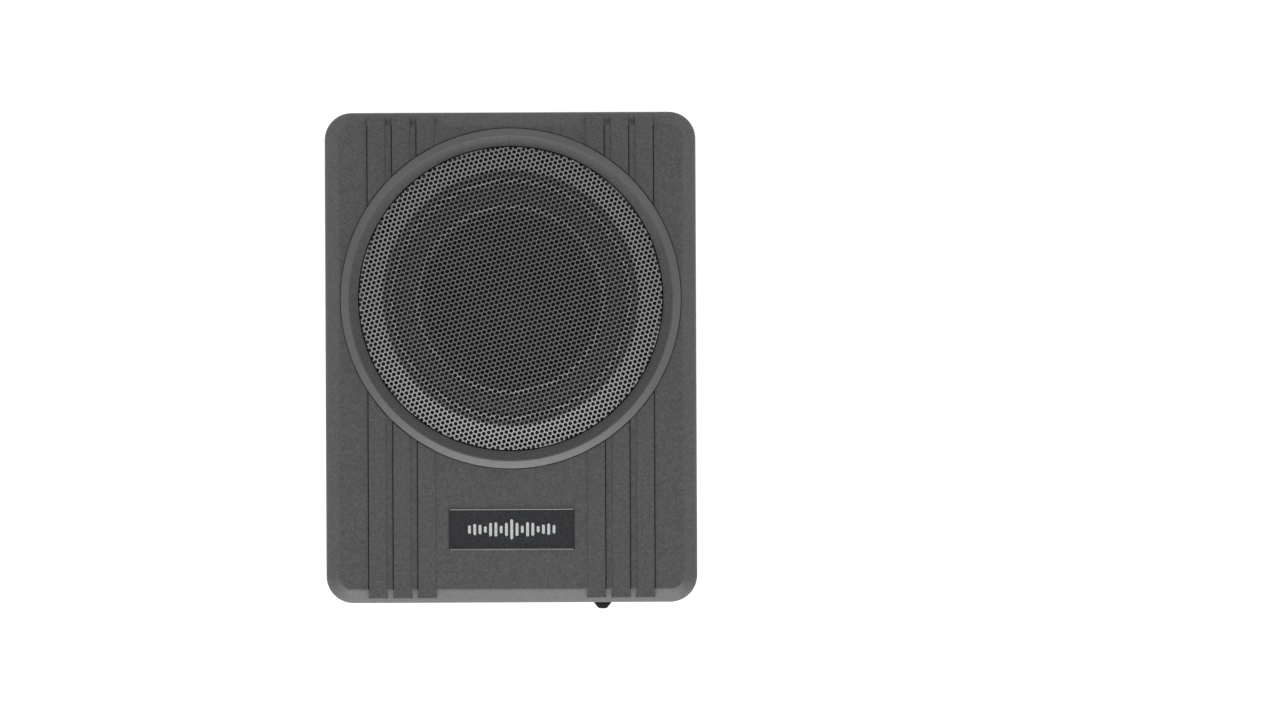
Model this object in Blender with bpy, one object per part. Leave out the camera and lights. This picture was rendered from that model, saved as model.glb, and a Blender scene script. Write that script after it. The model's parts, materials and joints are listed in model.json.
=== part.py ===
"""A powered under-seat car subwoofer, lying on its feet with its grille up.

Metres, +Z up. X runs across the enclosure and Y along it, with the connection bay at the -Y end.
The origin is under the middle of the whole object, on the plane that its feet stand on. The pieces are
modelled about the enclosure's middle, and main() then moves them so that the gain knob is counted in.
"""
import math

import bmesh
import bpy
from mathutils import Matrix, Vector

# ---- Driving dimensions ---------------------------------------------------------------------

GAP = 0.0003  # between pieces that touch

COVER_WIDTH = 0.261
COVER_LENGTH = 0.345
COVER_CORNER = 0.019
WALL = 0.003

FOOT_HEIGHT = 0.004
FOOT_RADIUS = 0.009
FOOT_X = 0.104
FOOT_Y = 0.138

FLOOR_TOP = FOOT_HEIGHT + WALL
HOUSING_INSET = 0.003  # the housing's walls stand this far inside the cover's edge
HOUSING_TOP = 0.040
FLANGE_INSET = 0.0005
FLANGE_THICKNESS = 0.003
HOUSING_EDGE = 0.002

COVER_BOTTOM = 0.041
COVER_TOP = 0.070
EDGE_PROFILE = (  # the cover's chamfered edge, as (inset, depth below the flat top)
    (0.0, 0.0110),
    (0.0006, 0.0083),
    (0.0024, 0.0062),
    (0.0096, 0.0004),
    (0.0106, 0.0),
)

RIB_WIDTH = 0.0123
RIB_PITCH = 0.0172
RIB_INNERMOST = 0.0532
RIB_HEIGHT = 0.0015
RIB_ROOT = 0.0055  # how far down a rib's solid reaches, through the chamfer
RIB_DRAFT = 0.0003
RIB_END = 0.0038  # from the cover's edge to the rib's end wall

DRIVER_Y = 0.0413  # the driver, its grille and the raised ring share one vertical axis
RING_FOOT_RADIUS = 0.119
RING_CREST_RADIUS = 0.1136
RING_CREST = 0.0745
FUNNEL_RADIUS = 0.1071
FUNNEL_BOTTOM = 0.0694
SEAT_RADIUS = 0.1035  # inner edge of the step that the grille's rim rests on
SEAT_Z = 0.067
LEDGE_RADIUS = 0.088
LEDGE_Z = 0.058  # the driver's flange rests here
RING_SEGMENTS = 48

BADGE_WIDTH = 0.088
BADGE_LENGTH = 0.0295
BADGE_Y = -0.1203
BADGE_RECESS = 0.0008
BADGE_BORDER = 0.0011
BADGE_TOP = COVER_TOP + 0.0005

GRILLE_SHEET = 0.001
GRILLE_RIM_RADIUS = 0.1062
GRILLE_TOP = 0.076

FLANGE_RADIUS = 0.1015  # the driver's basket
BASKET_SHEET = 0.002
DRIVER_SCREW_CIRCLE = 0.096
DRIVER_SCREWS = 6
SHELF_Z = 0.040
DRIVER_SEGMENTS = 32
MOTOR_SEGMENTS = 24
SURROUND_INNER = 0.0644
SURROUND_OUTER = 0.0826
SURROUND_SHEET = 0.001
SURROUND_STEPS = 5
CONE_NECK_Z = 0.0463
CONE_RIM_Z = LEDGE_Z + BASKET_SHEET
COIL_RADIUS = 0.0186  # outside of the former
MOTOR_BOTTOM = 0.008
YOKE_PLATE = 0.006
MAGNET_RADIUS = 0.050
MAGNET_TOP = 0.029
TOP_PLATE_TOP = 0.035
PLATE_RADIUS = 0.045
POLE_RADIUS = 0.0175

BAY_HALF_WIDTH = 0.100
BAY_WALL_Y = -0.159  # outer face of the wall behind the connector panel
BAY_TOP = 0.0365
PANEL_THICKNESS = 0.0015
PANEL_BACK = BAY_WALL_Y - GAP
PANEL_FRONT = PANEL_BACK - PANEL_THICKNESS
PANEL_HALF_WIDTH = 0.097
PANEL_Z = (0.0075, 0.0362)
OPENING_HALF_WIDTH = 0.092
OPENING_Z = (0.0095, 0.035)
CONTROL_Z = 0.022
BEHIND_PANEL = BAY_WALL_Y + 0.010  # how far back the panel's parts reach

GAIN_X = 0.065
LOW_PASS_X = 0.040
BOOST_X = 0.020
KNOB_PROTRUSION = 0.0075  # how far the gain knob stands out past the cover's edge
GAIN_REACH = -COVER_LENGTH / 2 - KNOB_PROTRUSION
FRAME_SHIFT = KNOB_PROTRUSION / 2
TRIM_REACH = PANEL_FRONT - 0.0085
SHAFT_RADIUS = 0.003
KNOB_SEGMENTS = 24

SWITCH_TRAVEL = 0.004
SLIDER_SIZE = (0.004, 0.006, 0.003)
REMOTE_X = -0.020
REMOTE_SIZE = (0.0125, 0.0125)
HIGH_LEVEL_X = -0.040
HIGH_LEVEL_SIZE = (0.018, 0.012)
RCA_X = -0.058
RCA_Z = (0.0155, 0.0285)
RCA_HOLE = 0.0046
POWER_X = -0.0785
POWER_SIZE = (0.024, 0.018)
FUSE_X = 0.0825
LAMP_X = 0.0515
LAMP_Z = 0.031
LAMP_HOLE = 0.0021

BOARD_X = (-0.100, 0.060)
BOARD_Y = (-0.146, -0.056)
BOARD_BOTTOM = 0.012
BOARD_THICKNESS = 0.0016
BOARD_TOP = BOARD_BOTTOM + BOARD_THICKNESS

CORNER_POST = (0.1165, 0.1585)
SIDE_POST = (0.1185, 0.0)
POST_RADIUS = 0.0065
BOSS_RADIUS = 0.0055
COUNTERBORE_RADIUS = 0.0043
COUNTERBORE_TOP = 0.032
SCREW_HOLE = 0.0023
SCREW_RADIUS = 0.002
CASE_SCREW_TOP = 0.052

CUTTER_REACH = 0.02  # how far a cutter runs past the material that it opens


# ---- Materials ------------------------------------------------------------------------------

FINISHES = {  # colour, roughness, metallic
    "cover_coat": ((0.095, 0.096, 0.098), 0.62, 0.0),
    "housing_coat": ((0.060, 0.061, 0.063), 0.55, 0.0),
    "black_rubber": ((0.020, 0.020, 0.021), 0.85, 0.0),
    "grille_coat": ((0.120, 0.121, 0.124), 0.42, 0.3),
    "badge_gloss": ((0.030, 0.031, 0.034), 0.22, 0.0),
    "zinc_steel": ((0.560, 0.560, 0.550), 0.35, 0.9),
    "black_steel": ((0.045, 0.045, 0.047), 0.45, 0.4),
    "cone_paper": ((0.035, 0.035, 0.036), 0.80, 0.0),
    "spider_cloth": ((0.480, 0.330, 0.120), 0.90, 0.0),
    "former_foil": ((0.620, 0.620, 0.610), 0.35, 0.8),
    "copper": ((0.720, 0.330, 0.160), 0.35, 0.9),
    "ferrite": ((0.070, 0.070, 0.072), 0.60, 0.0),
    "board_laminate": ((0.030, 0.130, 0.060), 0.50, 0.0),
    "capacitor_sleeve": ((0.015, 0.020, 0.035), 0.35, 0.0),
    "raw_aluminium": ((0.640, 0.640, 0.640), 0.40, 0.9),
    "epoxy": ((0.025, 0.025, 0.026), 0.55, 0.0),
    "panel_paint": ((0.040, 0.040, 0.041), 0.50, 0.2),
    "knob_plastic": ((0.018, 0.018, 0.019), 0.45, 0.0),
    "pot_case": ((0.080, 0.160, 0.300), 0.50, 0.0),
    "black_nylon": ((0.025, 0.025, 0.026), 0.55, 0.0),
    "white_nylon": ((0.780, 0.780, 0.750), 0.45, 0.0),
    "nickel": ((0.700, 0.690, 0.660), 0.25, 0.9),
    "fuse_plastic": ((0.720, 0.080, 0.040), 0.30, 0.0),
    "lamp_lens": ((0.100, 0.550, 0.150), 0.20, 0.0),
}


def material(name):
    """The named finish as a Principled material, made once."""
    found = bpy.data.materials.get(name)
    if found:
        return found
    colour, roughness, metallic = FINISHES[name]
    made = bpy.data.materials.new(name)
    made.use_nodes = True
    shader = made.node_tree.nodes["Principled BSDF"]
    shader.inputs["Base Color"].default_value = (*colour, 1.0)
    shader.inputs["Roughness"].default_value = roughness
    shader.inputs["Metallic"].default_value = metallic
    made.diffuse_color = (*colour, 1.0)
    return made


# ---- Building blocks ------------------------------------------------------------------------


def add(name, bm, finish, origin=(0.0, 0.0, 0.0), sharp_degrees=32):
    """Turn a bmesh in world coordinates into an object whose origin is the given point."""
    bmesh.ops.remove_doubles(bm, verts=bm.verts, dist=1e-6)
    bmesh.ops.recalc_face_normals(bm, faces=bm.faces)
    bmesh.ops.translate(bm, verts=bm.verts, vec=-Vector(origin))
    mesh = bpy.data.meshes.new(name)
    bm.to_mesh(mesh)
    bm.free()
    mesh.shade_smooth()
    mesh.set_sharp_from_angle(angle=math.radians(sharp_degrees))
    obj = bpy.data.objects.new(name, mesh)
    obj.location = origin
    bpy.context.scene.collection.objects.link(obj)
    if finish:
        mesh.materials.append(material(finish))
    return obj


def add_tool(name, bm):
    """An object that only shapes others, so it's never drawn or built."""
    obj = add(name, bm, None)
    obj.hide_render = True
    obj.display_type = "WIRE"
    return obj


def shape(obj, operation, tool_name, bm):
    """Join a tool's solids to an object (UNION), or cut them out of it (DIFFERENCE)."""
    modifier = obj.modifiers.new(tool_name, "BOOLEAN")
    modifier.operation = operation
    modifier.solver = "EXACT"
    modifier.object = add_tool(tool_name, bm)


def add_box(bm, x, y, z):
    """A box from its ranges along X, Y and Z. Returns its vertices."""
    size = (x[1] - x[0], y[1] - y[0], z[1] - z[0])
    middle = ((x[0] + x[1]) / 2, (y[0] + y[1]) / 2, (z[0] + z[1]) / 2)
    place = Matrix.Translation(middle) @ Matrix.Diagonal((*size, 1.0))
    return bmesh.ops.create_cube(bm, size=1.0, matrix=place)["verts"]


def add_rod(bm, centre, radius, z, segments=16):
    """An upright cylinder at (x, y), from z[0] to z[1]."""
    place = Matrix.Translation((centre[0], centre[1], (z[0] + z[1]) / 2))
    bmesh.ops.create_cone(
        bm, cap_ends=True, segments=segments, radius1=radius, radius2=radius, depth=z[1] - z[0], matrix=place
    )


def add_turned(bm, profile, segments, centre=(0.0, 0.0)):
    """Spin a closed outline of (radius, height) points about an upright axis."""
    corners = [bm.verts.new((centre[0] + radius, centre[1], height)) for radius, height in profile]
    on_axis = [radius < 1e-9 for radius, height in profile]
    edges = []
    for index, corner in enumerate(corners):
        following = (index + 1) % len(corners)
        if not (on_axis[index] and on_axis[following]):
            edges.append(bm.edges.new((corner, corners[following])))
    bmesh.ops.spin(
        bm, geom=corners + edges, cent=(*centre, 0.0), axis=(0, 0, 1), angle=2 * math.pi, steps=segments,
        use_merge=True, use_duplicate=False,
    )
    bmesh.ops.remove_doubles(bm, verts=bm.verts, dist=1e-6)


def turned(name, profile, finish, segments, centre=(0.0, 0.0), sharp_degrees=32):
    """A solid of revolution about an upright axis."""
    bm = bmesh.new()
    add_turned(bm, profile, segments, centre)
    return add(name, bm, finish, (*centre, 0.0), sharp_degrees)


def facing_panel(bm, x, z):
    """Turn a solid made about +Z, its height measured along +Z, to point along -Y at (x, z)."""
    turn = Matrix.Rotation(math.radians(90), 4, "X")
    bmesh.ops.transform(bm, matrix=Matrix.Translation((x, 0.0, z)) @ turn, verts=bm.verts)


def turned_on_panel(name, profile, finish, x, z, segments=KNOB_SEGMENTS):
    """A solid of revolution about an axis along Y: each profile point is (radius, y)."""
    bm = bmesh.new()
    add_turned(bm, [(radius, -y) for radius, y in profile], segments)
    facing_panel(bm, x, z)
    return add(name, bm, finish, (x, 0.0, z))


def hole_through_panel(bm, x, z, radius, y, segments=16):
    """A round cutter along Y at (x, z)."""
    place = Matrix.Translation((x, (y[0] + y[1]) / 2, z)) @ Matrix.Rotation(math.radians(90), 4, "X")
    bmesh.ops.create_cone(
        bm, cap_ends=True, segments=segments, radius1=radius, radius2=radius, depth=y[1] - y[0], matrix=place
    )


def rounded_outline(inset, corner_steps=6):
    """The enclosure's rounded rectangle, moved inwards by inset, as (x, y) points."""
    half_width = COVER_WIDTH / 2 - inset
    half_length = COVER_LENGTH / 2 - inset
    radius = max(COVER_CORNER - inset, 0.004)
    points = []
    for quarter, (sign_x, sign_y) in enumerate(((1, 1), (-1, 1), (-1, -1), (1, -1))):
        centre_x = sign_x * (half_width - radius)
        centre_y = sign_y * (half_length - radius)
        for step in range(corner_steps + 1):
            angle = math.radians(90 * (quarter + step / corner_steps))
            points.append((centre_x + radius * math.cos(angle), centre_y + radius * math.sin(angle)))
    return points


def add_lofted(bm, levels):
    """One closed body through rounded outlines, given as (inset, z), with both ends filled."""
    rings = [[bm.verts.new((x, y, z)) for x, y in rounded_outline(inset)] for inset, z in levels]
    bm.faces.new(rings[0])
    bm.faces.new(rings[-1])
    for lower, upper in zip(rings, rings[1:]):
        for index, corner in enumerate(lower):
            following = (index + 1) % len(lower)
            bm.faces.new((corner, lower[following], upper[following], upper[index]))


def around_driver(radius, degrees):
    """The (x, y) point at a radius and angle about the driver's axis."""
    angle = math.radians(degrees)
    return radius * math.cos(angle), DRIVER_Y + radius * math.sin(angle)


def post_places():
    """The (x, y) of each post that a case screw runs up."""
    places = [(x * CORNER_POST[0], y * CORNER_POST[1]) for x in (-1, 1) for y in (-1, 1)]
    return places + [(x * SIDE_POST[0], SIDE_POST[1]) for x in (-1, 1)]


# ---- Enclosure ------------------------------------------------------------------------------


def edge_levels(thickness=0.0):
    """Levels of the cover's chamfered edge, or of the same edge inside the wall, as (inset, z)."""
    return [(thickness + inset, COVER_TOP - thickness - depth) for inset, depth in EDGE_PROFILE]


def add_ribs(bm):
    """Two groups of three flat bars, which the raised ring interrupts."""
    end = COVER_LENGTH / 2 - RIB_END
    for side in (-1, 1):
        for number in range(3):
            middle = side * (RIB_INNERMOST + RIB_WIDTH / 2 + number * RIB_PITCH)
            foot = RIB_WIDTH / 2 + RIB_DRAFT
            corners = add_box(
                bm, (middle - foot, middle + foot), (-end - RIB_DRAFT, end + RIB_DRAFT),
                (COVER_TOP - RIB_ROOT, COVER_TOP + RIB_HEIGHT),
            )
            for corner in corners:
                if corner.co.z > COVER_TOP:
                    corner.co.x -= math.copysign(RIB_DRAFT, corner.co.x - middle)
                    corner.co.y -= math.copysign(RIB_DRAFT, corner.co.y)


def ring_profile():
    """The raised ring, the funnel, the grille's seat and the driver's ledge, as one outline."""
    inside_plate = COVER_TOP - 0.0014
    return [
        (RING_FOOT_RADIUS + 0.0004, inside_plate),
        (RING_FOOT_RADIUS - 0.0002, COVER_TOP),
        (RING_CREST_RADIUS + 0.0012, RING_CREST - 0.0006),
        (RING_CREST_RADIUS, RING_CREST),
        (RING_CREST_RADIUS - 0.0009, RING_CREST - 0.0003),
        (FUNNEL_RADIUS, FUNNEL_BOTTOM),
        (FUNNEL_RADIUS - 0.0003, SEAT_Z),
        (SEAT_RADIUS, SEAT_Z),
        (SEAT_RADIUS, LEDGE_Z),
        (LEDGE_RADIUS, LEDGE_Z),
        (LEDGE_RADIUS, LEDGE_Z - WALL),
        (FUNNEL_RADIUS, LEDGE_Z - WALL),
        (FUNNEL_RADIUS, 0.0645),
        (FUNNEL_RADIUS + 0.0054, COVER_TOP - 0.0021),
    ]


def make_top_cover():
    bm = bmesh.new()
    rim = [(WALL, COVER_BOTTOM), (0.0, COVER_BOTTOM)]
    add_lofted(bm, edge_levels(WALL)[::-1] + rim + edge_levels())
    cover = add("top_cover", bm, "cover_coat")

    bm = bmesh.new()
    add_ribs(bm)
    shape(cover, "UNION", "tool_ribs", bm)

    bm = bmesh.new()
    add_rod(bm, (0.0, DRIVER_Y), 0.110, (0.060, RING_CREST + CUTTER_REACH), RING_SEGMENTS)
    shape(cover, "DIFFERENCE", "tool_mouth", bm)

    bm = bmesh.new()
    add_turned(bm, ring_profile(), RING_SEGMENTS, (0.0, DRIVER_Y))
    shape(cover, "UNION", "tool_ring", bm)

    bm = bmesh.new()
    for place in post_places():
        add_rod(bm, place, BOSS_RADIUS, (COVER_BOTTOM, COVER_TOP - WALL / 2), 12)
    shape(cover, "UNION", "tool_bosses", bm)

    bm = bmesh.new()
    for place in post_places():
        add_rod(bm, place, SCREW_HOLE, (COVER_BOTTOM - CUTTER_REACH, CASE_SCREW_TOP + 0.002), 12)
    for number in range(DRIVER_SCREWS):
        place = around_driver(DRIVER_SCREW_CIRCLE, 360 * number / DRIVER_SCREWS + 30)
        add_rod(bm, place, SCREW_HOLE, (LEDGE_Z - WALL - 0.003, LEDGE_Z + 0.003), 12)
    half_width = BADGE_WIDTH / 2
    add_box(
        bm, (-half_width, half_width), (BADGE_Y - BADGE_LENGTH / 2, BADGE_Y + BADGE_LENGTH / 2),
        (COVER_TOP - BADGE_RECESS, COVER_TOP + CUTTER_REACH),
    )
    shape(cover, "DIFFERENCE", "tool_cover_holes", bm)


def add_fins(bm):
    """Cooling fins down both long sides, under the housing's flange."""
    root = COVER_WIDTH / 2 - HOUSING_INSET - 0.001
    tip = COVER_WIDTH / 2 - 0.0008
    fins = 23
    pitch = 0.012
    half_thickness = 0.0012
    for side in (-1, 1):
        for number in range(fins):
            middle = (number - (fins - 1) / 2) * pitch
            across = sorted((side * root, side * tip))
            add_box(bm, across, (middle - half_thickness, middle + half_thickness), (0.0085, 0.0355))


def make_lower_housing():
    inner = HOUSING_INSET + WALL
    underside = HOUSING_TOP - FLANGE_THICKNESS
    bm = bmesh.new()
    add_lofted(bm, [
        (inner + 0.0015, FLOOR_TOP), (inner, FLOOR_TOP + 0.0015), (inner, HOUSING_TOP),
        (FLANGE_INSET, HOUSING_TOP), (FLANGE_INSET, underside), (HOUSING_INSET, underside),
        (HOUSING_INSET, FOOT_HEIGHT + HOUSING_EDGE),
        (HOUSING_INSET + HOUSING_EDGE, FOOT_HEIGHT),
    ])
    housing = add("lower_housing", bm, "housing_coat")

    bm = bmesh.new()
    add_fins(bm)
    shape(housing, "UNION", "tool_fins", bm)

    bm = bmesh.new()
    outside = BAY_HALF_WIDTH + WALL
    add_box(bm, (-outside, outside), (BAY_WALL_Y - 0.009, BAY_WALL_Y + WALL), (0.005, 0.039))
    shape(housing, "UNION", "tool_bay_walls", bm)

    bm = bmesh.new()
    for place in post_places():
        add_rod(bm, place, POST_RADIUS, (FLOOR_TOP - 0.001, HOUSING_TOP - GAP), 12)
    for x in (BOARD_X[0] + 0.006, BOARD_X[1] - 0.006):
        for y in (BOARD_Y[0] + 0.006, BOARD_Y[1] - 0.006):
            add_rod(bm, (x, y), 0.0035, (FLOOR_TOP - 0.001, BOARD_BOTTOM - GAP), 8)
    shape(housing, "UNION", "tool_posts", bm)

    bm = bmesh.new()
    reach = BAY_WALL_Y - CUTTER_REACH
    add_box(bm, (-BAY_HALF_WIDTH, BAY_HALF_WIDTH), (reach, BAY_WALL_Y), (-CUTTER_REACH, BAY_TOP))
    shape(housing, "DIFFERENCE", "tool_bay", bm)

    bm = bmesh.new()
    add_box(bm, (-OPENING_HALF_WIDTH, OPENING_HALF_WIDTH), (reach, BAY_WALL_Y + 2 * WALL), OPENING_Z)
    for place in post_places():
        add_turned(bm, [
            (0.0, -CUTTER_REACH), (COUNTERBORE_RADIUS, -CUTTER_REACH), (COUNTERBORE_RADIUS, COUNTERBORE_TOP),
            (SCREW_HOLE, COUNTERBORE_TOP), (SCREW_HOLE, HOUSING_TOP + CUTTER_REACH),
            (0.0, HOUSING_TOP + CUTTER_REACH),
        ], 12, place)
    shape(housing, "DIFFERENCE", "tool_housing_holes", bm)


def make_cover_gasket():
    bm = bmesh.new()
    outer = 0.0008
    inner = HOUSING_INSET + WALL - 0.0005
    low = HOUSING_TOP + GAP
    high = COVER_BOTTOM - GAP
    rings = []
    for inset, z in ((outer, low), (outer, high), (inner, high), (inner, low)):
        rings.append([bm.verts.new((x, y, z)) for x, y in rounded_outline(inset)])
    for ring, following_ring in zip(rings, rings[1:] + rings[:1]):
        for index, corner in enumerate(ring):
            following = (index + 1) % len(ring)
            bm.faces.new((corner, ring[following], following_ring[following], following_ring[index]))
    add("cover_gasket", bm, "black_rubber")


def make_feet():
    rim = 0.001
    profile = [
        (0.0, 0.0), (FOOT_RADIUS - rim, 0.0), (FOOT_RADIUS, rim), (FOOT_RADIUS, FOOT_HEIGHT - GAP),
        (0.0, FOOT_HEIGHT - GAP),
    ]
    for end, y in (("rear", -FOOT_Y), ("front", FOOT_Y)):
        for side, x in (("left", -FOOT_X), ("right", FOOT_X)):
            turned(f"foot_{end}_{side}", profile, "black_rubber", 20, (x, y))


def make_case_screws():
    head_radius = 0.0035
    head_top = COUNTERBORE_TOP - GAP
    head_bottom = head_top - 0.0028
    profile = [
        (0.0, head_bottom), (head_radius, head_bottom), (head_radius, head_top), (SCREW_RADIUS, head_top),
        (SCREW_RADIUS, CASE_SCREW_TOP), (0.0, CASE_SCREW_TOP),
    ]
    for number, place in enumerate(post_places()):
        turned(f"case_screw_{number + 1}", profile, "black_steel", 12, place)


def make_badge_plate():
    """A plate with a raised border round its face."""
    half_width = BADGE_WIDTH / 2 - GAP
    half_length = BADGE_LENGTH / 2 - GAP
    bottom = COVER_TOP - BADGE_RECESS + GAP
    along = (BADGE_Y - half_length, BADGE_Y + half_length)
    bm = bmesh.new()
    add_box(bm, (-half_width, half_width), along, (bottom, BADGE_TOP))
    face = max(bm.faces, key=lambda candidate: candidate.calc_center_median().z)
    bmesh.ops.inset_individual(bm, faces=[face], thickness=BADGE_BORDER)
    bmesh.ops.translate(bm, verts=face.verts, vec=(0.0, 0.0, -0.0006))
    add("badge_plate", bm, "badge_gloss")


def make_grille():
    """A domed sheet: a flat rim, a sloping skirt and a nearly flat middle."""
    upper = [
        (GRILLE_RIM_RADIUS, SEAT_Z + GAP + GRILLE_SHEET), (0.1030, SEAT_Z + GAP + GRILLE_SHEET),
        (0.0895, 0.0743), (0.0850, 0.0752), (0.0, GRILLE_TOP),
    ]
    lower = [(radius, z - GRILLE_SHEET) for radius, z in upper[::-1]]
    turned("grille", upper + lower, "grille_coat", RING_SEGMENTS, (0.0, DRIVER_Y))


# ---- Driver ---------------------------------------------------------------------------------


def make_basket():
    """Stamped steel: flange, conical frame with windows, spider shelf and base."""
    top = LEDGE_Z + GAP + BASKET_SHEET
    base = TOP_PLATE_TOP + GAP
    sheet = 0.0015
    profile = [
        (FLANGE_RADIUS, LEDGE_Z + GAP), (FLANGE_RADIUS, top), (0.0830, top), (0.0808, top - 0.0015),
        (0.0560, SHELF_Z), (0.0465, SHELF_Z), (0.0465, base + sheet), (0.0250, base + sheet), (0.0250, base),
        (0.0480, base), (0.0480, SHELF_Z - sheet),
        (0.0572, SHELF_Z - sheet), (0.0822, LEDGE_Z - 0.0014), (0.0845, LEDGE_Z + GAP),
    ]
    basket = turned("basket", profile, "black_steel", DRIVER_SEGMENTS, (0.0, DRIVER_Y))

    bm = bmesh.new()
    windows = 6
    for number in range(windows):
        corners = add_box(bm, (0.0600, 0.0790), (-0.020, 0.020), (0.030, 0.065))
        turn = Matrix.Rotation(math.radians(360 * number / windows), 4, "Z")
        bmesh.ops.transform(bm, matrix=Matrix.Translation((0.0, DRIVER_Y, 0.0)) @ turn, verts=corners)
    for number in range(DRIVER_SCREWS):
        place = around_driver(DRIVER_SCREW_CIRCLE, 360 * number / DRIVER_SCREWS + 30)
        add_rod(bm, place, SCREW_HOLE, (LEDGE_Z - 0.003, top + 0.003), 12)
    shape(basket, "DIFFERENCE", "tool_basket_windows", bm)


def make_driver_screws():
    seat = LEDGE_Z + BASKET_SHEET + 2 * GAP
    head_radius = 0.0038
    tip = LEDGE_Z - WALL - 0.004
    profile = [
        (0.0, tip), (SCREW_RADIUS, tip), (SCREW_RADIUS, seat), (head_radius, seat),
        (head_radius, seat + 0.0012), (0.0020, seat + 0.0024), (0.0, seat + 0.0024),
    ]
    for number in range(DRIVER_SCREWS):
        place = around_driver(DRIVER_SCREW_CIRCLE, 360 * number / DRIVER_SCREWS + 30)
        turned(f"driver_screw_{number + 1}", profile, "black_steel", 12, place)


def make_surround():
    """A half roll of rubber between the cone's rim and the basket's flange."""
    flange_top = LEDGE_Z + BASKET_SHEET + 2 * GAP
    middle = (SURROUND_INNER + SURROUND_OUTER) / 2
    roll = (SURROUND_OUTER - SURROUND_INNER) / 2
    outer_lip = 0.0890
    inner_lip = 0.0615
    top = flange_top + SURROUND_SHEET
    upper = [(outer_lip, top)]
    lower = [(outer_lip, flange_top)]
    for step in range(SURROUND_STEPS + 1):
        angle = math.pi * step / SURROUND_STEPS
        upper.append((middle + roll * math.cos(angle), top + roll * math.sin(angle)))
        thin = roll - SURROUND_SHEET
        lower.append((middle + thin * math.cos(angle), flange_top + thin * math.sin(angle) * 1.05))
    upper.append((inner_lip, top))
    lower.append((inner_lip, flange_top))
    turned("surround", upper + lower[::-1], "black_rubber", DRIVER_SEGMENTS, (0.0, DRIVER_Y), 60)


def make_basket_gasket():
    low = LEDGE_Z + BASKET_SHEET + 3 * GAP + SURROUND_SHEET
    high = low + 0.0016
    profile = [(0.0845, low), (0.0905, low), (0.0905, high), (0.0845, high)]
    turned("basket_gasket", profile, "black_rubber", DRIVER_SEGMENTS, (0.0, DRIVER_Y))


def cone_height(radius):
    """Height of the cone's upper face at a radius."""
    neck = COIL_RADIUS + GAP
    return CONE_NECK_Z + (CONE_RIM_Z - CONE_NECK_Z) * (radius - neck) / (0.0615 - neck)


def make_cone():
    thickness = 0.001
    neck = COIL_RADIUS + GAP
    profile = [
        (SURROUND_INNER, CONE_RIM_Z - thickness), (SURROUND_INNER, CONE_RIM_Z), (0.0615, CONE_RIM_Z),
        (neck, CONE_NECK_Z), (neck, CONE_NECK_Z - thickness), (0.0615, CONE_RIM_Z - thickness),
    ]
    turned("cone", profile, "cone_paper", DRIVER_SEGMENTS, (0.0, DRIVER_Y))


def make_dust_cap():
    rim_radius = 0.030
    rise = 0.0075
    thickness = 0.0008
    base = cone_height(rim_radius) + GAP
    steps = 5
    upper = []
    lower = []
    for step in range(steps + 1):
        part = step / steps
        upper.append((rim_radius * (1 - part), base + thickness + rise * (1 - (1 - part) ** 2)))
        lower.append((rim_radius * (1 - part), base + rise * (1 - (1 - part) ** 2)))
    turned("dust_cap", upper + lower[::-1], "cone_paper", MOTOR_SEGMENTS, (0.0, DRIVER_Y), 60)


def make_spider():
    """A corrugated cloth disc that centres the voice coil."""
    thickness = 0.0005
    level = SHELF_Z + GAP
    wave = 0.0012
    waves = 6
    inner = COIL_RADIUS + GAP
    outer = 0.0460
    upper = [(0.0540, level + thickness)]
    for step in range(waves + 1):
        radius = outer + (inner + 0.0025 - outer) * step / waves
        offset = wave if step % 2 else 0.0
        upper.append((radius, level + thickness + offset))
    upper.append((inner, level + thickness))
    lower = [(radius, z - thickness) for radius, z in upper[::-1]]
    turned("spider", upper + lower, "spider_cloth", MOTOR_SEGMENTS, (0.0, DRIVER_Y), 60)


def make_ring(name, finish, radii, heights):
    """A plain ring round the driver's axis."""
    profile = [(radii[0], heights[0]), (radii[1], heights[0]), (radii[1], heights[1]), (radii[0], heights[1])]
    turned(name, profile, finish, MOTOR_SEGMENTS, (0.0, DRIVER_Y))


def make_motor():
    """Voice coil on its former, top plate, ring magnet, and yoke with its pole."""
    winding = COIL_RADIUS + GAP + 0.0014
    former = (COIL_RADIUS - 0.0004, COIL_RADIUS)
    make_ring("coil_former", "former_foil", former, (0.020, CONE_NECK_Z + 0.0010))
    make_ring("voice_coil", "copper", (COIL_RADIUS + GAP, winding), (0.0265, 0.0375))
    make_ring("top_plate", "zinc_steel", (winding + 0.001, PLATE_RADIUS), (MAGNET_TOP + GAP, TOP_PLATE_TOP))
    yoke_top = MOTOR_BOTTOM + YOKE_PLATE
    make_ring("magnet", "ferrite", (0.025, MAGNET_RADIUS), (yoke_top + GAP, MAGNET_TOP))
    profile = [
        (0.0, MOTOR_BOTTOM), (PLATE_RADIUS, MOTOR_BOTTOM), (PLATE_RADIUS, yoke_top), (POLE_RADIUS, yoke_top),
        (POLE_RADIUS, TOP_PLATE_TOP), (0.0, TOP_PLATE_TOP),
    ]
    turned("yoke", profile, "zinc_steel", MOTOR_SEGMENTS, (0.0, DRIVER_Y))


def make_terminal_board():
    bm = bmesh.new()
    face = DRIVER_Y - 0.0575
    add_box(bm, (-0.010, 0.010), (face - 0.0016, face), (0.0432, 0.0505))
    add("terminal_board", bm, "board_laminate")


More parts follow.
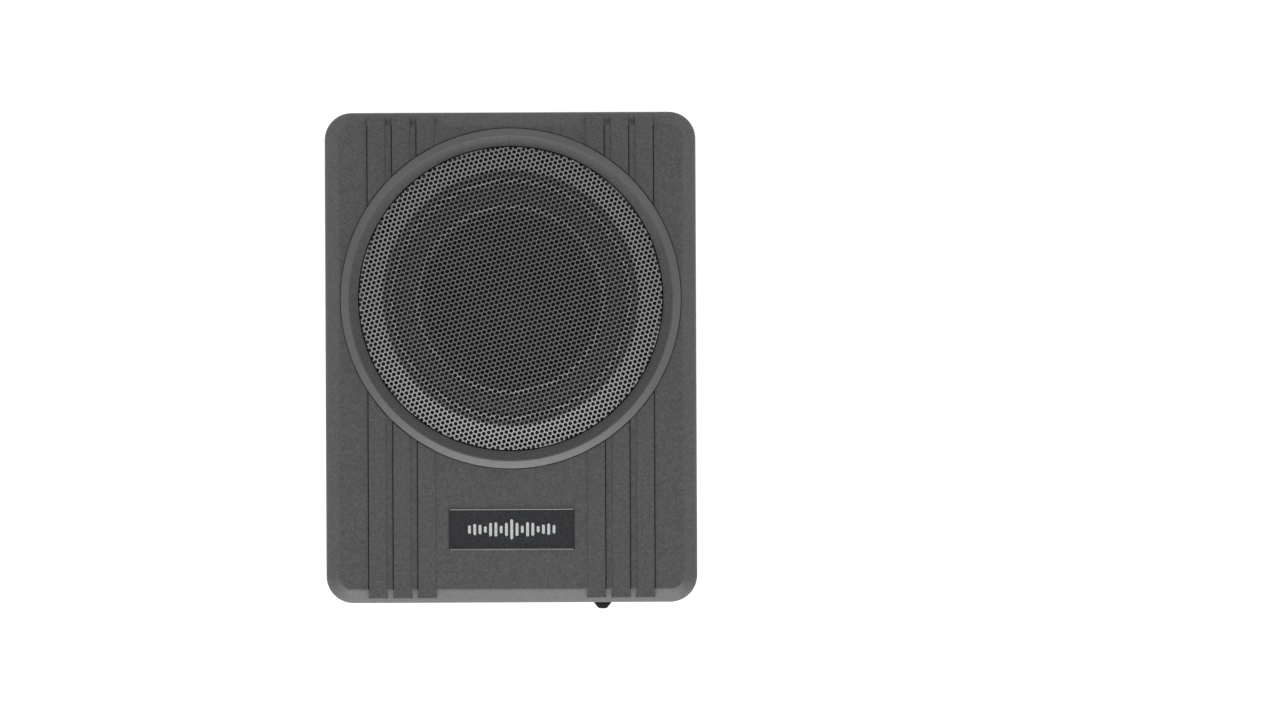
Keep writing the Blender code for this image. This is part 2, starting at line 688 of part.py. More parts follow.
def make_tinsel_leads():
    """Two braided leads from the cone's underside to the terminal board."""
    route = [  # (distance from the driver's axis, height)
        (0.0235, 0.0450), (0.0290, 0.0442), (0.0360, 0.0441),
        (0.0440, 0.0450), (0.0510, 0.0462), (0.0570, 0.0475),
    ]
    for side, x in (("left", -0.006), ("right", 0.006)):
        name = f"tinsel_lead_{side}"
        curve = bpy.data.curves.new(name, "CURVE")
        curve.dimensions = "3D"
        curve.bevel_depth = 0.0007
        curve.bevel_resolution = 1
        curve.use_fill_caps = True
        spline = curve.splines.new("POLY")
        spline.points.add(len(route) - 1)
        for point, (radius, z) in zip(spline.points, route):
            point.co = (x, DRIVER_Y - radius, z, 1.0)
        curve.materials.append(material("copper"))
        bpy.context.scene.collection.objects.link(bpy.data.objects.new(name, curve))


# ---- Amplifier ------------------------------------------------------------------------------


def make_box(name, finish, x, y, z, edge=0.0):
    """A box with its upright and level edges eased by a small chamfer."""
    bm = bmesh.new()
    add_box(bm, x, y, z)
    if edge:
        bmesh.ops.bevel(bm, geom=bm.edges[:], offset=edge, segments=1, affect="EDGES")
    return add(name, bm, finish)


def make_amplifier():
    make_box("main_board", "board_laminate", BOARD_X, BOARD_Y, (BOARD_BOTTOM, BOARD_TOP))
    foot = BOARD_TOP + GAP
    can_radius = 0.009
    can_height = 0.034
    can = [
        (0.0, foot), (can_radius, foot), (can_radius, foot + can_height - 0.001),
        (can_radius - 0.001, foot + can_height), (0.0, foot + can_height),
    ]
    for number, x in enumerate((-0.070, -0.046)):
        turned(f"reservoir_capacitor_{number + 1}", can, "capacitor_sleeve", 20, (x, -0.112))

    middle = foot + 0.0055
    toroid = []
    for step in range(8):
        angle = 2 * math.pi * (step + 0.5) / 8
        toroid.append((0.0115 + 0.0050 * math.cos(angle), middle + 0.0050 * math.sin(angle)))
    turned("choke", toroid, "copper", 24, (-0.005, -0.112), 60)

    bar_face = BOARD_X[1] + 0.006
    bar_height = (FLOOR_TOP + GAP, 0.036)
    make_box("heat_bar", "raw_aluminium", (bar_face, bar_face + 0.008), (-0.140, -0.070), bar_height, 0.0006)
    for number, y in enumerate((-0.122, -0.092)):
        make_box(
            f"output_transistor_{number + 1}", "epoxy", (bar_face - GAP - 0.005, bar_face - GAP),
            (y - 0.008, y + 0.008), (BOARD_TOP + 0.001, 0.035), 0.0005,
        )


# ---- Connection bay -------------------------------------------------------------------------


def rectangle(x, size, grow=0.0):
    """The X and Z ranges of a rectangle of (width, height) centred on the control line."""
    half_width = size[0] / 2 + grow
    half_height = size[1] / 2 + grow
    return (x - half_width, x + half_width), (CONTROL_Z - half_height, CONTROL_Z + half_height)


def make_connector_panel():
    across = (-PANEL_HALF_WIDTH, PANEL_HALF_WIDTH)
    panel = make_box("connector_panel", "panel_paint", across, (PANEL_FRONT, PANEL_BACK), PANEL_Z)
    through = (PANEL_FRONT - 0.003, PANEL_BACK + 0.003)
    bm = bmesh.new()
    for x in (GAIN_X, LOW_PASS_X, BOOST_X):
        hole_through_panel(bm, x, CONTROL_Z, SHAFT_RADIUS + 0.0005, through)
    for z in RCA_Z:
        hole_through_panel(bm, RCA_X, z, RCA_HOLE, through)
    hole_through_panel(bm, LAMP_X, LAMP_Z, LAMP_HOLE, through, 12)
    slot = SWITCH_TRAVEL + SLIDER_SIZE[0] / 2 - 0.0014
    add_box(bm, (-slot, slot), through, (CONTROL_Z - 0.002, CONTROL_Z + 0.002))
    for x, size in ((REMOTE_X, REMOTE_SIZE), (HIGH_LEVEL_X, HIGH_LEVEL_SIZE), (POWER_X, POWER_SIZE)):
        across, upright = rectangle(x, size, GAP)
        add_box(bm, across, through, upright)
    for blade in (-1, 1):
        middle = FUSE_X + blade * 0.0060
        add_box(bm, (middle - 0.0029, middle + 0.0029), through, (CONTROL_Z - 0.0008, CONTROL_Z + 0.0008))
    shape(panel, "DIFFERENCE", "tool_panel_holes", bm)


def make_control(name, x, profile, pointer_length):
    """A knob with its shaft, marked by a groove, and the potentiometer that it turns."""
    knob = turned_on_panel(f"{name}_knob", profile, "knob_plastic", x, CONTROL_Z)
    reach = min(y for radius, y in profile)
    groove = 0.0006
    upright = (CONTROL_Z + 0.0004, CONTROL_Z + pointer_length)
    bm = bmesh.new()
    add_box(bm, (x - groove, x + groove), (reach - 0.002, reach + 0.0012), upright)
    shape(knob, "DIFFERENCE", f"tool_{name}_groove", bm)

    half = 0.0055
    front = PANEL_BACK + GAP
    upright = (CONTROL_Z - half, CONTROL_Z + half)
    pot = make_box(f"{name}_pot", "pot_case", (x - half, x + half), (front, BEHIND_PANEL), upright, 0.0006)
    bm = bmesh.new()
    hole_through_panel(bm, x, CONTROL_Z, SHAFT_RADIUS + 0.0003, (front - 0.003, front + 0.005))
    shape(pot, "DIFFERENCE", f"tool_{name}_bore", bm)


def make_controls():
    back = PANEL_FRONT - GAP
    shaft_end = PANEL_BACK + 0.0045
    shaft = [(0.0, shaft_end), (SHAFT_RADIUS, shaft_end), (SHAFT_RADIUS, back)]
    edge = -COVER_LENGTH / 2
    gain = shaft + [
        (0.0067, back), (0.0067, back - 0.0015), (0.0064, back - 0.0025), (0.0062, edge - 0.0035),
        (0.0030, GAIN_REACH), (0.0, GAIN_REACH),
    ]
    make_control("gain", GAIN_X, gain, 0.007)
    trim = shaft + [(0.0050, back), (0.0044, TRIM_REACH + 0.0007), (0.0037, TRIM_REACH), (0.0, TRIM_REACH)]
    make_control("low_pass", LOW_PASS_X, trim, 0.006)
    make_control("bass_boost", BOOST_X, trim, 0.006)


def make_phase_switch():
    front = PANEL_BACK + GAP
    upright = (CONTROL_Z - 0.004, CONTROL_Z + 0.004)
    body = make_box("phase_switch", "black_nylon", (-0.0075, 0.0075), (front, BEHIND_PANEL - 0.003), upright)
    half_slot = SWITCH_TRAVEL + 0.0006
    half_height = SLIDER_SIZE[2] / 2 + 0.0005
    upright = (CONTROL_Z - half_height, CONTROL_Z + half_height)
    bm = bmesh.new()
    add_box(bm, (-half_slot, half_slot), (front - 0.002, front + 0.003), upright)
    shape(body, "DIFFERENCE", "tool_switch_slot", bm)
    inner_end = front + 0.0026
    make_box(
        "phase_slider", "white_nylon", (-SLIDER_SIZE[0], 0.0), (inner_end - SLIDER_SIZE[1], inner_end),
        (CONTROL_Z - SLIDER_SIZE[2] / 2, CONTROL_Z + SLIDER_SIZE[2] / 2), 0.0003,
    )


def make_rca_jacks():
    collar = PANEL_FRONT - GAP
    tip = PANEL_FRONT - 0.0092
    profile = [
        (0.0, BEHIND_PANEL), (0.0042, BEHIND_PANEL), (0.0042, collar), (0.0058, collar),
        (0.0058, collar - 0.0012), (0.0041, collar - 0.0012), (0.0041, tip + 0.0004), (0.0037, tip),
        (0.0016, tip), (0.0016, tip + 0.0065), (0.0, tip + 0.0065),
    ]
    for side, z in zip(("lower", "upper"), RCA_Z):
        turned_on_panel(f"rca_jack_{side}", profile, "nickel", RCA_X, z, 20)


def make_remote_socket():
    """A modular jack whose cavity has the keyway that its plug's latch needs."""
    face = PANEL_FRONT - 0.0005
    across, upright = rectangle(REMOTE_X, REMOTE_SIZE)
    socket = make_box("remote_socket", "black_nylon", across, (face, BEHIND_PANEL + 0.002), upright)
    bm = bmesh.new()
    cavity_z = (upright[0] + 0.0022, upright[1] - 0.0030)
    add_box(bm, (REMOTE_X - 0.0049, REMOTE_X + 0.0049), (face - CUTTER_REACH, face + 0.0105), cavity_z)
    shape(socket, "DIFFERENCE", "tool_remote_cavity", bm)
    bm = bmesh.new()
    keyway_z = (cavity_z[1] - 0.001, cavity_z[1] + 0.0016)
    add_box(bm, (REMOTE_X - 0.0021, REMOTE_X + 0.0021), (face - CUTTER_REACH, face + 0.0080), keyway_z)
    shape(socket, "DIFFERENCE", "tool_remote_keyway", bm)


def make_high_level_socket():
    """A four-way socket with its pins standing up from the back of its cavity."""
    face = PANEL_FRONT - 0.003
    depth = 0.012
    lip = 0.0013
    across, upright = rectangle(HIGH_LEVEL_X, HIGH_LEVEL_SIZE)
    socket = make_box("high_level_socket", "white_nylon", across, (face, BEHIND_PANEL + 0.002), upright)
    bm = bmesh.new()
    cavity_x = (across[0] + lip, across[1] - lip)
    add_box(bm, cavity_x, (face - CUTTER_REACH, face + depth), (upright[0] + lip, upright[1] - lip))
    shape(socket, "DIFFERENCE", "tool_high_level_cavity", bm)
    bm = bmesh.new()
    pin = 0.0006
    pitch = 0.0038
    for number in range(4):
        x = HIGH_LEVEL_X + (number - 1.5) * pitch
        along = (face + depth - 0.005, face + depth + 0.001)
        add_box(bm, (x - pin, x + pin), along, (CONTROL_Z - pin, CONTROL_Z + pin))
    shape(socket, "UNION", "tool_high_level_pins", bm)


def make_power_terminal():
    """A three-way screw terminal: wire entries below, clamp screws above."""
    face = PANEL_FRONT - 0.008
    across, upright = rectangle(POWER_X, POWER_SIZE)
    block = make_box("power_terminal", "black_nylon", across, (face, BEHIND_PANEL), upright)
    bm = bmesh.new()
    for number in (-1, 0, 1):
        x = POWER_X + number * 0.0075
        entry = (upright[0] + 0.0017, upright[0] + 0.0077)
        add_box(bm, (x - 0.0028, x + 0.0028), (face - CUTTER_REACH, face + 0.012), entry)
        hole_through_panel(bm, x, upright[1] - 0.0045, 0.0026, (face - 0.002, face + 0.0015), 12)
    shape(block, "DIFFERENCE", "tool_power_entries", bm)


def make_fuse():
    """A blade fuse, pushed into its holder through two slots in the panel."""
    head_back = PANEL_FRONT - GAP
    head_front = head_back - 0.0070
    fuse = make_box(
        "fuse", "fuse_plastic", (FUSE_X - 0.0094, FUSE_X + 0.0094), (head_front, head_back),
        (CONTROL_Z - 0.0025, CONTROL_Z + 0.0025), 0.0005,
    )
    bm = bmesh.new()
    for blade in (-1, 1):
        middle = FUSE_X + blade * 0.0060
        add_box(
            bm, (middle - 0.0026, middle + 0.0026), (head_back - 0.002, PANEL_BACK + 0.0085),
            (CONTROL_Z - 0.0004, CONTROL_Z + 0.0004),
        )
    shape(fuse, "UNION", "tool_fuse_blades", bm)


def make_power_lamp():
    collar = PANEL_FRONT - GAP
    profile = [
        (0.0, PANEL_BACK + 0.004), (0.0018, PANEL_BACK + 0.004), (0.0018, collar), (0.0022, collar),
        (0.0022, collar - 0.0006), (0.0018, collar - 0.0006), (0.0015, collar - 0.0018),
        (0.0008, collar - 0.0025), (0.0, collar - 0.0027),
    ]
    turned_on_panel("power_lamp", profile, "lamp_lens", LAMP_X, LAMP_Z, 16)


# ---- Assembly -------------------------------------------------------------------------------


def main():
    for obj in list(bpy.data.objects):
        bpy.data.objects.remove(obj, do_unlink=True)

    make_top_cover()
    make_lower_housing()
    make_cover_gasket()
    make_feet()
    make_case_screws()
    make_badge_plate()
    make_grille()

    make_basket()
    make_driver_screws()
    make_surround()
    make_basket_gasket()
    make_cone()
    make_dust_cap()
    make_spider()
    make_motor()
    make_terminal_board()
    make_tinsel_leads()

    make_amplifier()

    make_connector_panel()
    make_controls()
    make_phase_switch()
    make_rca_jacks()
    make_remote_socket()
    make_high_level_socket()
    make_power_terminal()
    make_fuse()
    make_power_lamp()

    for obj in bpy.data.objects:
        obj.location.y += FRAME_SHIFT


main()
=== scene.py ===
"""The looks of a powered under-seat car subwoofer, round the frame that the CAD model gives."""
import json
import math

import bmesh
import bpy
from mathutils import Matrix, Vector
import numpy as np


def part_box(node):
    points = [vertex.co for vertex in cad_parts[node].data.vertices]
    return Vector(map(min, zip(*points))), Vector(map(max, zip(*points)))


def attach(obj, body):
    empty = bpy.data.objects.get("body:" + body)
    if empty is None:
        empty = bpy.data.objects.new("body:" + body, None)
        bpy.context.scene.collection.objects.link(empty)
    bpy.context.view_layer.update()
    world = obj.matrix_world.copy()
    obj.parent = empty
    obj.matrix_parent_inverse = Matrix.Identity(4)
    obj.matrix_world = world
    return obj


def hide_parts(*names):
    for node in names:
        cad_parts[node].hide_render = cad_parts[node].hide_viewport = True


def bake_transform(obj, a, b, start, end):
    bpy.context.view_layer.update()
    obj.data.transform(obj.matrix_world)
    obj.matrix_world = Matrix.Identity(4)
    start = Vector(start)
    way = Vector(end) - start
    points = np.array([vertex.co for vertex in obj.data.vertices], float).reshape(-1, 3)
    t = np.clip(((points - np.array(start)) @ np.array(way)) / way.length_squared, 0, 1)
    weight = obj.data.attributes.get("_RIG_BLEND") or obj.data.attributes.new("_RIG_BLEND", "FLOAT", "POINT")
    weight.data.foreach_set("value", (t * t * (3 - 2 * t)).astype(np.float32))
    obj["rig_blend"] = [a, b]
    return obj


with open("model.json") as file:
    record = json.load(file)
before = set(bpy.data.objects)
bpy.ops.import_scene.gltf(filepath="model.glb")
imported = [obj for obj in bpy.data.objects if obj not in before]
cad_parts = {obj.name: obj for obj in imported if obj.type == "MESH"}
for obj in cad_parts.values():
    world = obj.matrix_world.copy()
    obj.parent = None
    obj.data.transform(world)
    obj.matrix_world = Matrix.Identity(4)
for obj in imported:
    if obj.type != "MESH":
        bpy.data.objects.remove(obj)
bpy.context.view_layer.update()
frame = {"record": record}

# ---- Places, from the frame -----------------------------------------------------------------

COVER_LOW, COVER_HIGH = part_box("top_cover")
GRILLE_LOW, GRILLE_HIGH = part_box("grille")
PANEL_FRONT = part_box("connector_panel")[0][1]
CENTRE_Y = (COVER_LOW[1] + COVER_HIGH[1]) / 2
WIDTH = COVER_HIGH[0] - COVER_LOW[0]
LENGTH = COVER_HIGH[1] - COVER_LOW[1]
DRIVER = ((GRILLE_LOW[0] + GRILLE_HIGH[0]) / 2, (GRILLE_LOW[1] + GRILLE_HIGH[1]) / 2)
GRILLE_RADIUS = (GRILLE_HIGH[0] - GRILLE_LOW[0]) / 2

# ---- The cover's own dimensions -------------------------------------------------------------

CORNER = 0.019
WALL = 0.003
RIM_Z = COVER_LOW[2]
FLAT_Z = 0.070
EDGE_PROFILE = (  # the chamfered edge, as (inset, depth below the flat top)
    (0.0, 0.0110), (0.0002, 0.0095), (0.0007, 0.0082), (0.0014, 0.0072), (0.0024, 0.0062), (0.0050, 0.0041),
    (0.0075, 0.0021), (0.0090, 0.0009), (0.0098, 0.00035), (0.0104, 0.0001), (0.0110, 0.0),
)
RIB_WIDTH = 0.0123
RIB_PITCH = 0.0172
RIB_INNERMOST = 0.0532
RIB_HEIGHT = 0.0011
RIB_ROOT = 0.0055
RIB_SPREAD = 0.0006  # how much wider a rib is on each side at its root
RIB_END = 0.0038
GROOVE_WIDTH = 0.0007
GROOVE_DEPTH = 0.0014
RING_SEGMENTS = 192
RING_FOOT = 0.1190
CREST_EDGE = 0.1133  # inner edge of the ring's crest
MOAT_WIDTH = 0.0006
SEAT_RADIUS = 0.1035
SEAT_Z = 0.067
LEDGE_RADIUS = 0.088
LEDGE_Z = 0.058
BADGE_WIDTH = 0.088
BADGE_LENGTH = 0.0295
BADGE_Y = CENTRE_Y - 0.1203
BADGE_DEPTH = 0.0008
BADGE_TOP = 0.0705
LEVEL_BARS = 8  # on each side of the middle one
LEVEL_PITCH = 0.0037
GAP = 0.0003
MERGE_DISTANCE = 1e-6

# ---- The grille's and the surround's own dimensions -----------------------------------------

HOLE_PITCH = 0.00344
HOLE_RADIUS = 0.00144
DRAWN_OUT = 0.00010  # how much longer the holes are along their rows inside the skirt
HOLE_ANGLE = 15.0
SHEET = 0.0009
ROLL_DEPTH = 0.00005  # how far a hole's edge is rolled down on the skirt
ROLL_EXTRA = 0.00003  # and how much further inside it
CREASES = (0.0826, 0.0644)
CREASE_RISE = 0.00045
CREASE_HALF_WIDTH = 0.0022
CROWN_RISE = 0.0012
SKIRT_TOP = 0.0880  # inside this radius the sheet is nearly flat, and outside it slopes to the rim
SKIRT_FOOT = 0.1064
SKIRT_DROP = 0.0061
SKIRT_SHOULDER = 0.10  # share of the skirt over which its slope sets in
FADE_BEFORE = 0.005  # where the middle's hole shape starts to fade, inwards from the skirt's top
FADE_WIDTH = 0.006
SHEET_EDGE_MARGIN = 1e-5

SURROUND_INNER = 0.0644
SURROUND_OUTER = 0.0826

# ---- Light and colours ----------------------------------------------------------------------

LOW_LIGHT = 0.18  # the surroundings' brightness near the horizon, and higher up
HIGH_LIGHT = 1.0
LIGHT_RISE = (0.10, 0.75)  # heights between which the one turns into the other
END_LIGHT = 0.10
FRONT_LIGHT = 0.85
DARK_TILT = 7.0  # degrees that the dark patch overhead leans to the back
DARK_EDGE = (0.84, 0.94)
DARK_SHARE = 0.10
FLOOR_DROP = 0.0001  # keeps the floor clear of the feet

COVER_COLOUR = (0.071, 0.071, 0.072)
RING_COLOUR = (0.092, 0.092, 0.094)
GRILLE_COLOUR = (0.30, 0.30, 0.304)
PAINTED_SHADE_RADII = (0.1124, 0.1134)  # radii between which the painted shade in the funnel ends
# how far the painted shade darkens the coat in the funnel, which the grille's dome and the ring keep in
# shadow
FUNNEL_PAINTED_SHADE = 0.86


# ---- Materials ------------------------------------------------------------------------------


class Finish:
    """A Principled material whose colour, roughness and relief come from nodes in object space."""

    def __init__(self, name, colour, roughness, metallic=0.0):
        self.name = name
        self.material = bpy.data.materials.new(name)
        self.material.use_nodes = True
        self.nodes = self.material.node_tree.nodes
        self.links = self.material.node_tree.links
        self.shader = self.nodes["Principled BSDF"]
        self.shader.inputs["Roughness"].default_value = roughness
        self.shader.inputs["Metallic"].default_value = metallic
        self.colour = colour
        self.shade = None
        self.tint = None
        self.relief = None
        self.coords = self.nodes.new("ShaderNodeTexCoord").outputs["Object"]

    def set(self, **values):
        """Set constants on the shader's own sockets: spaces in their names are written as _."""
        for name, value in values.items():
            self.shader.inputs[name.replace("_", " ")].default_value = value
        return self

    def join(self, value, socket):
        """Link an output to a socket, or set the socket to a constant."""
        if isinstance(value, bpy.types.NodeSocket):
            self.links.new(value, socket)
        else:
            socket.default_value = value

    def node(self, kind, **inputs):
        made = self.nodes.new(kind)
        for name, value in inputs.items():
            self.join(value, made.inputs[name.replace("_", " ")])
        return made

    def math(self, operation, first, second=0.0):
        made = self.nodes.new("ShaderNodeMath")
        made.operation = operation
        self.join(first, made.inputs[0])
        self.join(second, made.inputs[1])
        return made.outputs["Value"]

    def axis(self, letter):
        return self.node("ShaderNodeSeparateXYZ", Vector=self.coords).outputs[letter]

    def noise(self, size, detail=2.0):
        """Noise whose features are about as large as size, in metres."""
        made = self.node("ShaderNodeTexNoise", Vector=self.coords, Scale=1.0 / size, Detail=detail)
        return made.outputs["Fac"]

    def stretch(self, value, low=0.3, high=0.7, to_low=0.0, to_high=1.0):
        """Map low..high to to_low..to_high, and hold the ends."""
        made = self.node(
            "ShaderNodeMapRange", Value=value, From_Min=low, From_Max=high, To_Min=to_low, To_Max=to_high
        )
        return made.outputs["Result"]

    def vary_colour(self, factor, darker, lighter):
        """Scale the colour between two strengths by a factor from 0 to 1."""
        strength = self.stretch(factor, 0.0, 1.0, darker, lighter)
        if self.tint is None:
            self.tint = self.nodes.new("ShaderNodeVectorMath")
            self.tint.operation = "SCALE"
            self.tint.inputs[0].default_value = self.colour
            self.links.new(self.tint.outputs["Vector"], self.shader.inputs["Base Color"])
        self.shade = self.math("MULTIPLY", self.shade, strength) if self.shade else strength
        self.links.new(self.shade, self.tint.inputs["Scale"])
        return self

    def vary_roughness(self, factor, low, high):
        self.links.new(self.stretch(factor, 0.0, 1.0, low, high), self.shader.inputs["Roughness"])
        return self

    def bump(self, height, depth):
        """Add relief, where depth is the height in metres that a height of 1 stands for."""
        made = self.node("ShaderNodeBump", Height=height, Distance=depth)
        if self.relief:
            self.links.new(self.relief, made.inputs["Normal"])
        self.relief = made.outputs["Normal"]
        self.links.new(self.relief, self.shader.inputs["Normal"])
        return self

    def driver_radius(self):
        """Distance from the driver's axis, in metres."""
        across = self.math("SUBTRACT", self.axis("X"), DRIVER[0])
        along = self.math("SUBTRACT", self.axis("Y"), DRIVER[1])
        squares = self.math("ADD", self.math("MULTIPLY", across, across), self.math("MULTIPLY", along, along))
        return self.math("SQRT", squares)

    def near(self, value, target, half_width):
        """1 where value meets target, falling to 0 at half_width on either side."""
        distance = self.math("ABSOLUTE", self.math("SUBTRACT", value, target))
        return self.stretch(distance, 0.0, half_width, 1.0, 0.0)


def textured_coat(name, colour, roughness, grain, depth, contrast=0.16):
    """Textured paint on a casting: pimples, a finer grain and broad unevenness."""
    made = Finish(name, colour, roughness).set(Specular_IOR_Level=0.4)
    fine = made.noise(grain, 3.0)
    pimples = made.noise(grain * 3.2, 2.0)
    made.vary_colour(made.stretch(fine), 1 - contrast, 1 + contrast)
    made.vary_colour(made.stretch(pimples), 1 - contrast * 0.6, 1 + contrast * 0.6)
    made.vary_colour(made.stretch(made.noise(0.0045)), 0.95, 1.05)
    made.vary_colour(made.stretch(made.noise(0.05)), 0.97, 1.03)
    made.vary_roughness(made.stretch(pimples), roughness - 0.06, roughness + 0.08)
    made.bump(fine, depth)
    made.bump(pimples, depth * 1.6)
    return made


def make_cover_coat():
    """The cover's paint, with painted shade that darkens it in the funnel inside the ring's crest."""
    made = textured_coat("cover_coat", COVER_COLOUR, 0.60, 0.00060, 0.00008, 0.30)
    # painted shade: the coat's colour is darker inside the ring's crest, in place of the funnel's shadow
    return made.vary_colour(made.stretch(made.driver_radius(), *PAINTED_SHADE_RADII), FUNNEL_PAINTED_SHADE, 1.0)


def plain_finish(name, colour, roughness, metallic=0.0, grain=0.0006, depth=0.00002, contrast=0.08):
    """Moulded, painted or plated surfaces with a little grain of their own."""
    made = Finish(name, colour, roughness, metallic)
    speck = made.stretch(made.noise(grain))
    made.vary_colour(speck, 1 - contrast, 1 + contrast)
    made.vary_roughness(speck, roughness - 0.05, roughness + 0.05)
    made.bump(speck, depth)
    return made


def make_turned_steel():
    """Zinc-plated steel with fine turning rings and a blotchy plating."""
    made = Finish("zinc_steel", (0.56, 0.56, 0.55), 0.35, 1.0)
    ring = made.math("SINE", made.math("MULTIPLY", made.driver_radius(), 9000.0))
    blotch = made.stretch(made.noise(0.004))
    made.vary_colour(blotch, 0.85, 1.05)
    made.vary_roughness(blotch, 0.30, 0.47)
    return made.bump(ring, 0.00001)


def make_copper():
    """Enamelled wire, wound in level turns."""
    made = Finish("copper", (0.72, 0.33, 0.16), 0.35, 1.0)
    strand = made.math("SINE", made.math("MULTIPLY", made.axis("Z"), 16000.0))
    made.vary_colour(made.stretch(strand, -1.0, 1.0), 0.65, 1.1)
    return made.bump(strand, 0.00006)


def make_badge_gloss():
    """Dark lacquer with a slightly crazed surface."""
    made = Finish("badge_gloss", (0.020, 0.021, 0.023), 0.30)
    cells = made.node("ShaderNodeTexVoronoi", Vector=made.coords, Scale=620.0)
    cells.feature = "DISTANCE_TO_EDGE"
    crack = made.stretch(cells.outputs["Distance"], 0.0, 0.12)
    made.vary_colour(crack, 1.7, 0.85)
    made.vary_colour(made.stretch(made.noise(0.0015, 4.0)), 0.7, 1.4)
    made.bump(crack, 0.00004)
    return made.bump(made.noise(0.0007, 3.0), 0.00005)


def make_grille_coat():
    """Dark metallic paint, with painted highlights along the two pressed creases."""
    made = Finish("grille_coat", GRILLE_COLOUR, 0.34, 0.9)
    radius = made.driver_radius()
    # painted highlight: the colour is lighter in thin rings on the two creases, where their bends catch the
    # light
    outer, inner = (made.near(radius, crease, 0.0008) for crease in CREASES)
    made.vary_colour(made.stretch(made.noise(0.0009)), 0.88, 1.12)
    made.vary_colour(outer, 1.0, 1.9)
    made.vary_colour(inner, 1.0, 1.7)
    made.vary_roughness(made.stretch(made.noise(0.0014)), 0.30, 0.40)
    return made.bump(made.noise(0.0006), 0.00002)


def make_cone_paper():
    """Pressed black pulp: fibres and faint rings."""
    made = Finish("cone_paper", (0.007, 0.007, 0.0075), 0.80)
    fibre = made.noise(0.0008, 5.0)
    ring = made.math("SINE", made.math("MULTIPLY", made.driver_radius(), 2200.0))
    made.vary_colour(made.stretch(fibre), 0.6, 1.6)
    made.bump(fibre, 0.00015)
    return made.bump(ring, 0.00004)


def make_spider_cloth():
    """Coarse resin-stiffened cloth."""
    made = Finish("spider_cloth", (0.42, 0.28, 0.10), 0.85)
    for letter in ("X", "Y"):
        thread = made.math("SINE", made.math("MULTIPLY", made.axis(letter), 9000.0))
        made.vary_colour(made.stretch(thread, -1.0, 1.0), 0.8, 1.1)
        made.bump(thread, 0.00010)
    return made


def make_finishes():
    """Every material by name: the record's slots, and a few finishes for the pieces added here."""
    made = [
        make_cover_coat(),
        textured_coat("ring_satin", RING_COLOUR, 0.50, 0.00040, 0.00002, 0.08),
        textured_coat("housing_coat", (0.032, 0.032, 0.034), 0.55, 0.00055, 0.00012),
        make_turned_steel(),
        make_copper(),
        make_badge_gloss(),
        make_grille_coat(),
        make_cone_paper(),
        make_spider_cloth(),
    ]
    for name, colour, roughness, metallic, grain, depth, contrast in (
        ("black_rubber", (0.010, 0.010, 0.0105), 0.75, 0.0, 0.0009, 0.00003, 0.10),
        ("black_steel", (0.018, 0.018, 0.019), 0.45, 0.3, 0.0008, 0.00002, 0.10),
        ("former_foil", (0.62, 0.62, 0.61), 0.35, 1.0, 0.0006, 0.00002, 0.08),
        ("ferrite", (0.045, 0.045, 0.048), 0.55, 0.0, 0.0010, 0.00004, 0.20),
        ("raw_aluminium", (0.62, 0.62, 0.63), 0.38, 1.0, 0.0005, 0.00003, 0.08),
        ("epoxy", (0.022, 0.022, 0.023), 0.50, 0.0, 0.0006, 0.00002, 0.08),
        ("board_laminate", (0.03, 0.13, 0.06), 0.45, 0.0, 0.0030, 0.00002, 0.20),
        ("capacitor_sleeve", (0.012, 0.016, 0.030), 0.30, 0.0, 0.0006, 0.00002, 0.08),
        ("panel_paint", (0.020, 0.020, 0.021), 0.48, 0.0, 0.0004, 0.00003, 0.15),
        ("knob_plastic", (0.003, 0.003, 0.0033), 0.65, 0.0, 0.0004, 0.00002, 0.12),
        ("pot_case", (0.08, 0.16, 0.30), 0.50, 0.0, 0.0006, 0.00002, 0.08),
        ("black_nylon", (0.016, 0.016, 0.017), 0.50, 0.0, 0.0005, 0.00003, 0.12),
        ("white_nylon", (0.36, 0.36, 0.335), 0.45, 0.0, 0.0008, 0.00001, 0.04),
        ("red_nylon", (0.26, 0.012, 0.012), 0.42, 0.0, 0.0008, 0.00001, 0.06),
        ("nickel", (0.26, 0.25, 0.235), 0.36, 1.0, 0.0006, 0.00001, 0.08),
        ("fuse_plastic", (0.24, 0.014, 0.008), 0.26, 0.0, 0.0010, 0.00001, 0.06),
        ("lamp_lens", (0.05, 0.36, 0.09), 0.12, 0.0, 0.0010, 0.000005, 0.05),
        ("printed_white", (0.34, 0.34, 0.33), 0.55, 0.0, 0.0003, 0.00001, 0.15),
        ("badge_silver", (0.62, 0.63, 0.64), 0.30, 0.20, 0.0008, 0.00002, 0.12),
        ("badge_trim", (0.26, 0.26, 0.27), 0.35, 0.60, 0.0008, 0.00002, 0.12),
    ):
        made.append(plain_finish(name, colour, roughness, metallic, grain, depth, contrast))
    finishes = {finish.name: finish for finish in made}
    finishes["knob_plastic"].set(Specular_IOR_Level=0.1)
    finishes["cone_paper"].set(Specular_IOR_Level=0.25)
    return finishes


FINISHES = make_finishes()


def dress_cad_nodes():
    """Give each node that stays from the CAD model the material of its slot."""
    slots = {entry["node"]: entry["material_slot"] for entry in frame["record"]["subparts"]}
    for node, slot in slots.items():
        obj = bpy.data.objects[node]
        obj.data.materials.clear()
        obj.data.materials.append(FINISHES[slot].material)


# ---- Building blocks ------------------------------------------------------------------------


def finish_mesh(name, bm, finish, body="enclosure", sharp_degrees=32):
    """A piece from a bmesh in world coordinates, riding on a body."""
    bmesh.ops.remove_doubles(bm, verts=bm.verts, dist=MERGE_DISTANCE)
    bmesh.ops.recalc_face_normals(bm, faces=bm.faces)
    mesh = bpy.data.meshes.new(name)
    bm.to_mesh(mesh)
    bm.free()
    mesh.shade_smooth()
    mesh.set_sharp_from_angle(angle=math.radians(sharp_degrees))
    obj = bpy.data.objects.new(name, mesh)
    bpy.context.scene.collection.objects.link(obj)
    mesh.materials.append(FINISHES[finish].material)
    if body:
        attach(obj, body)
    return obj


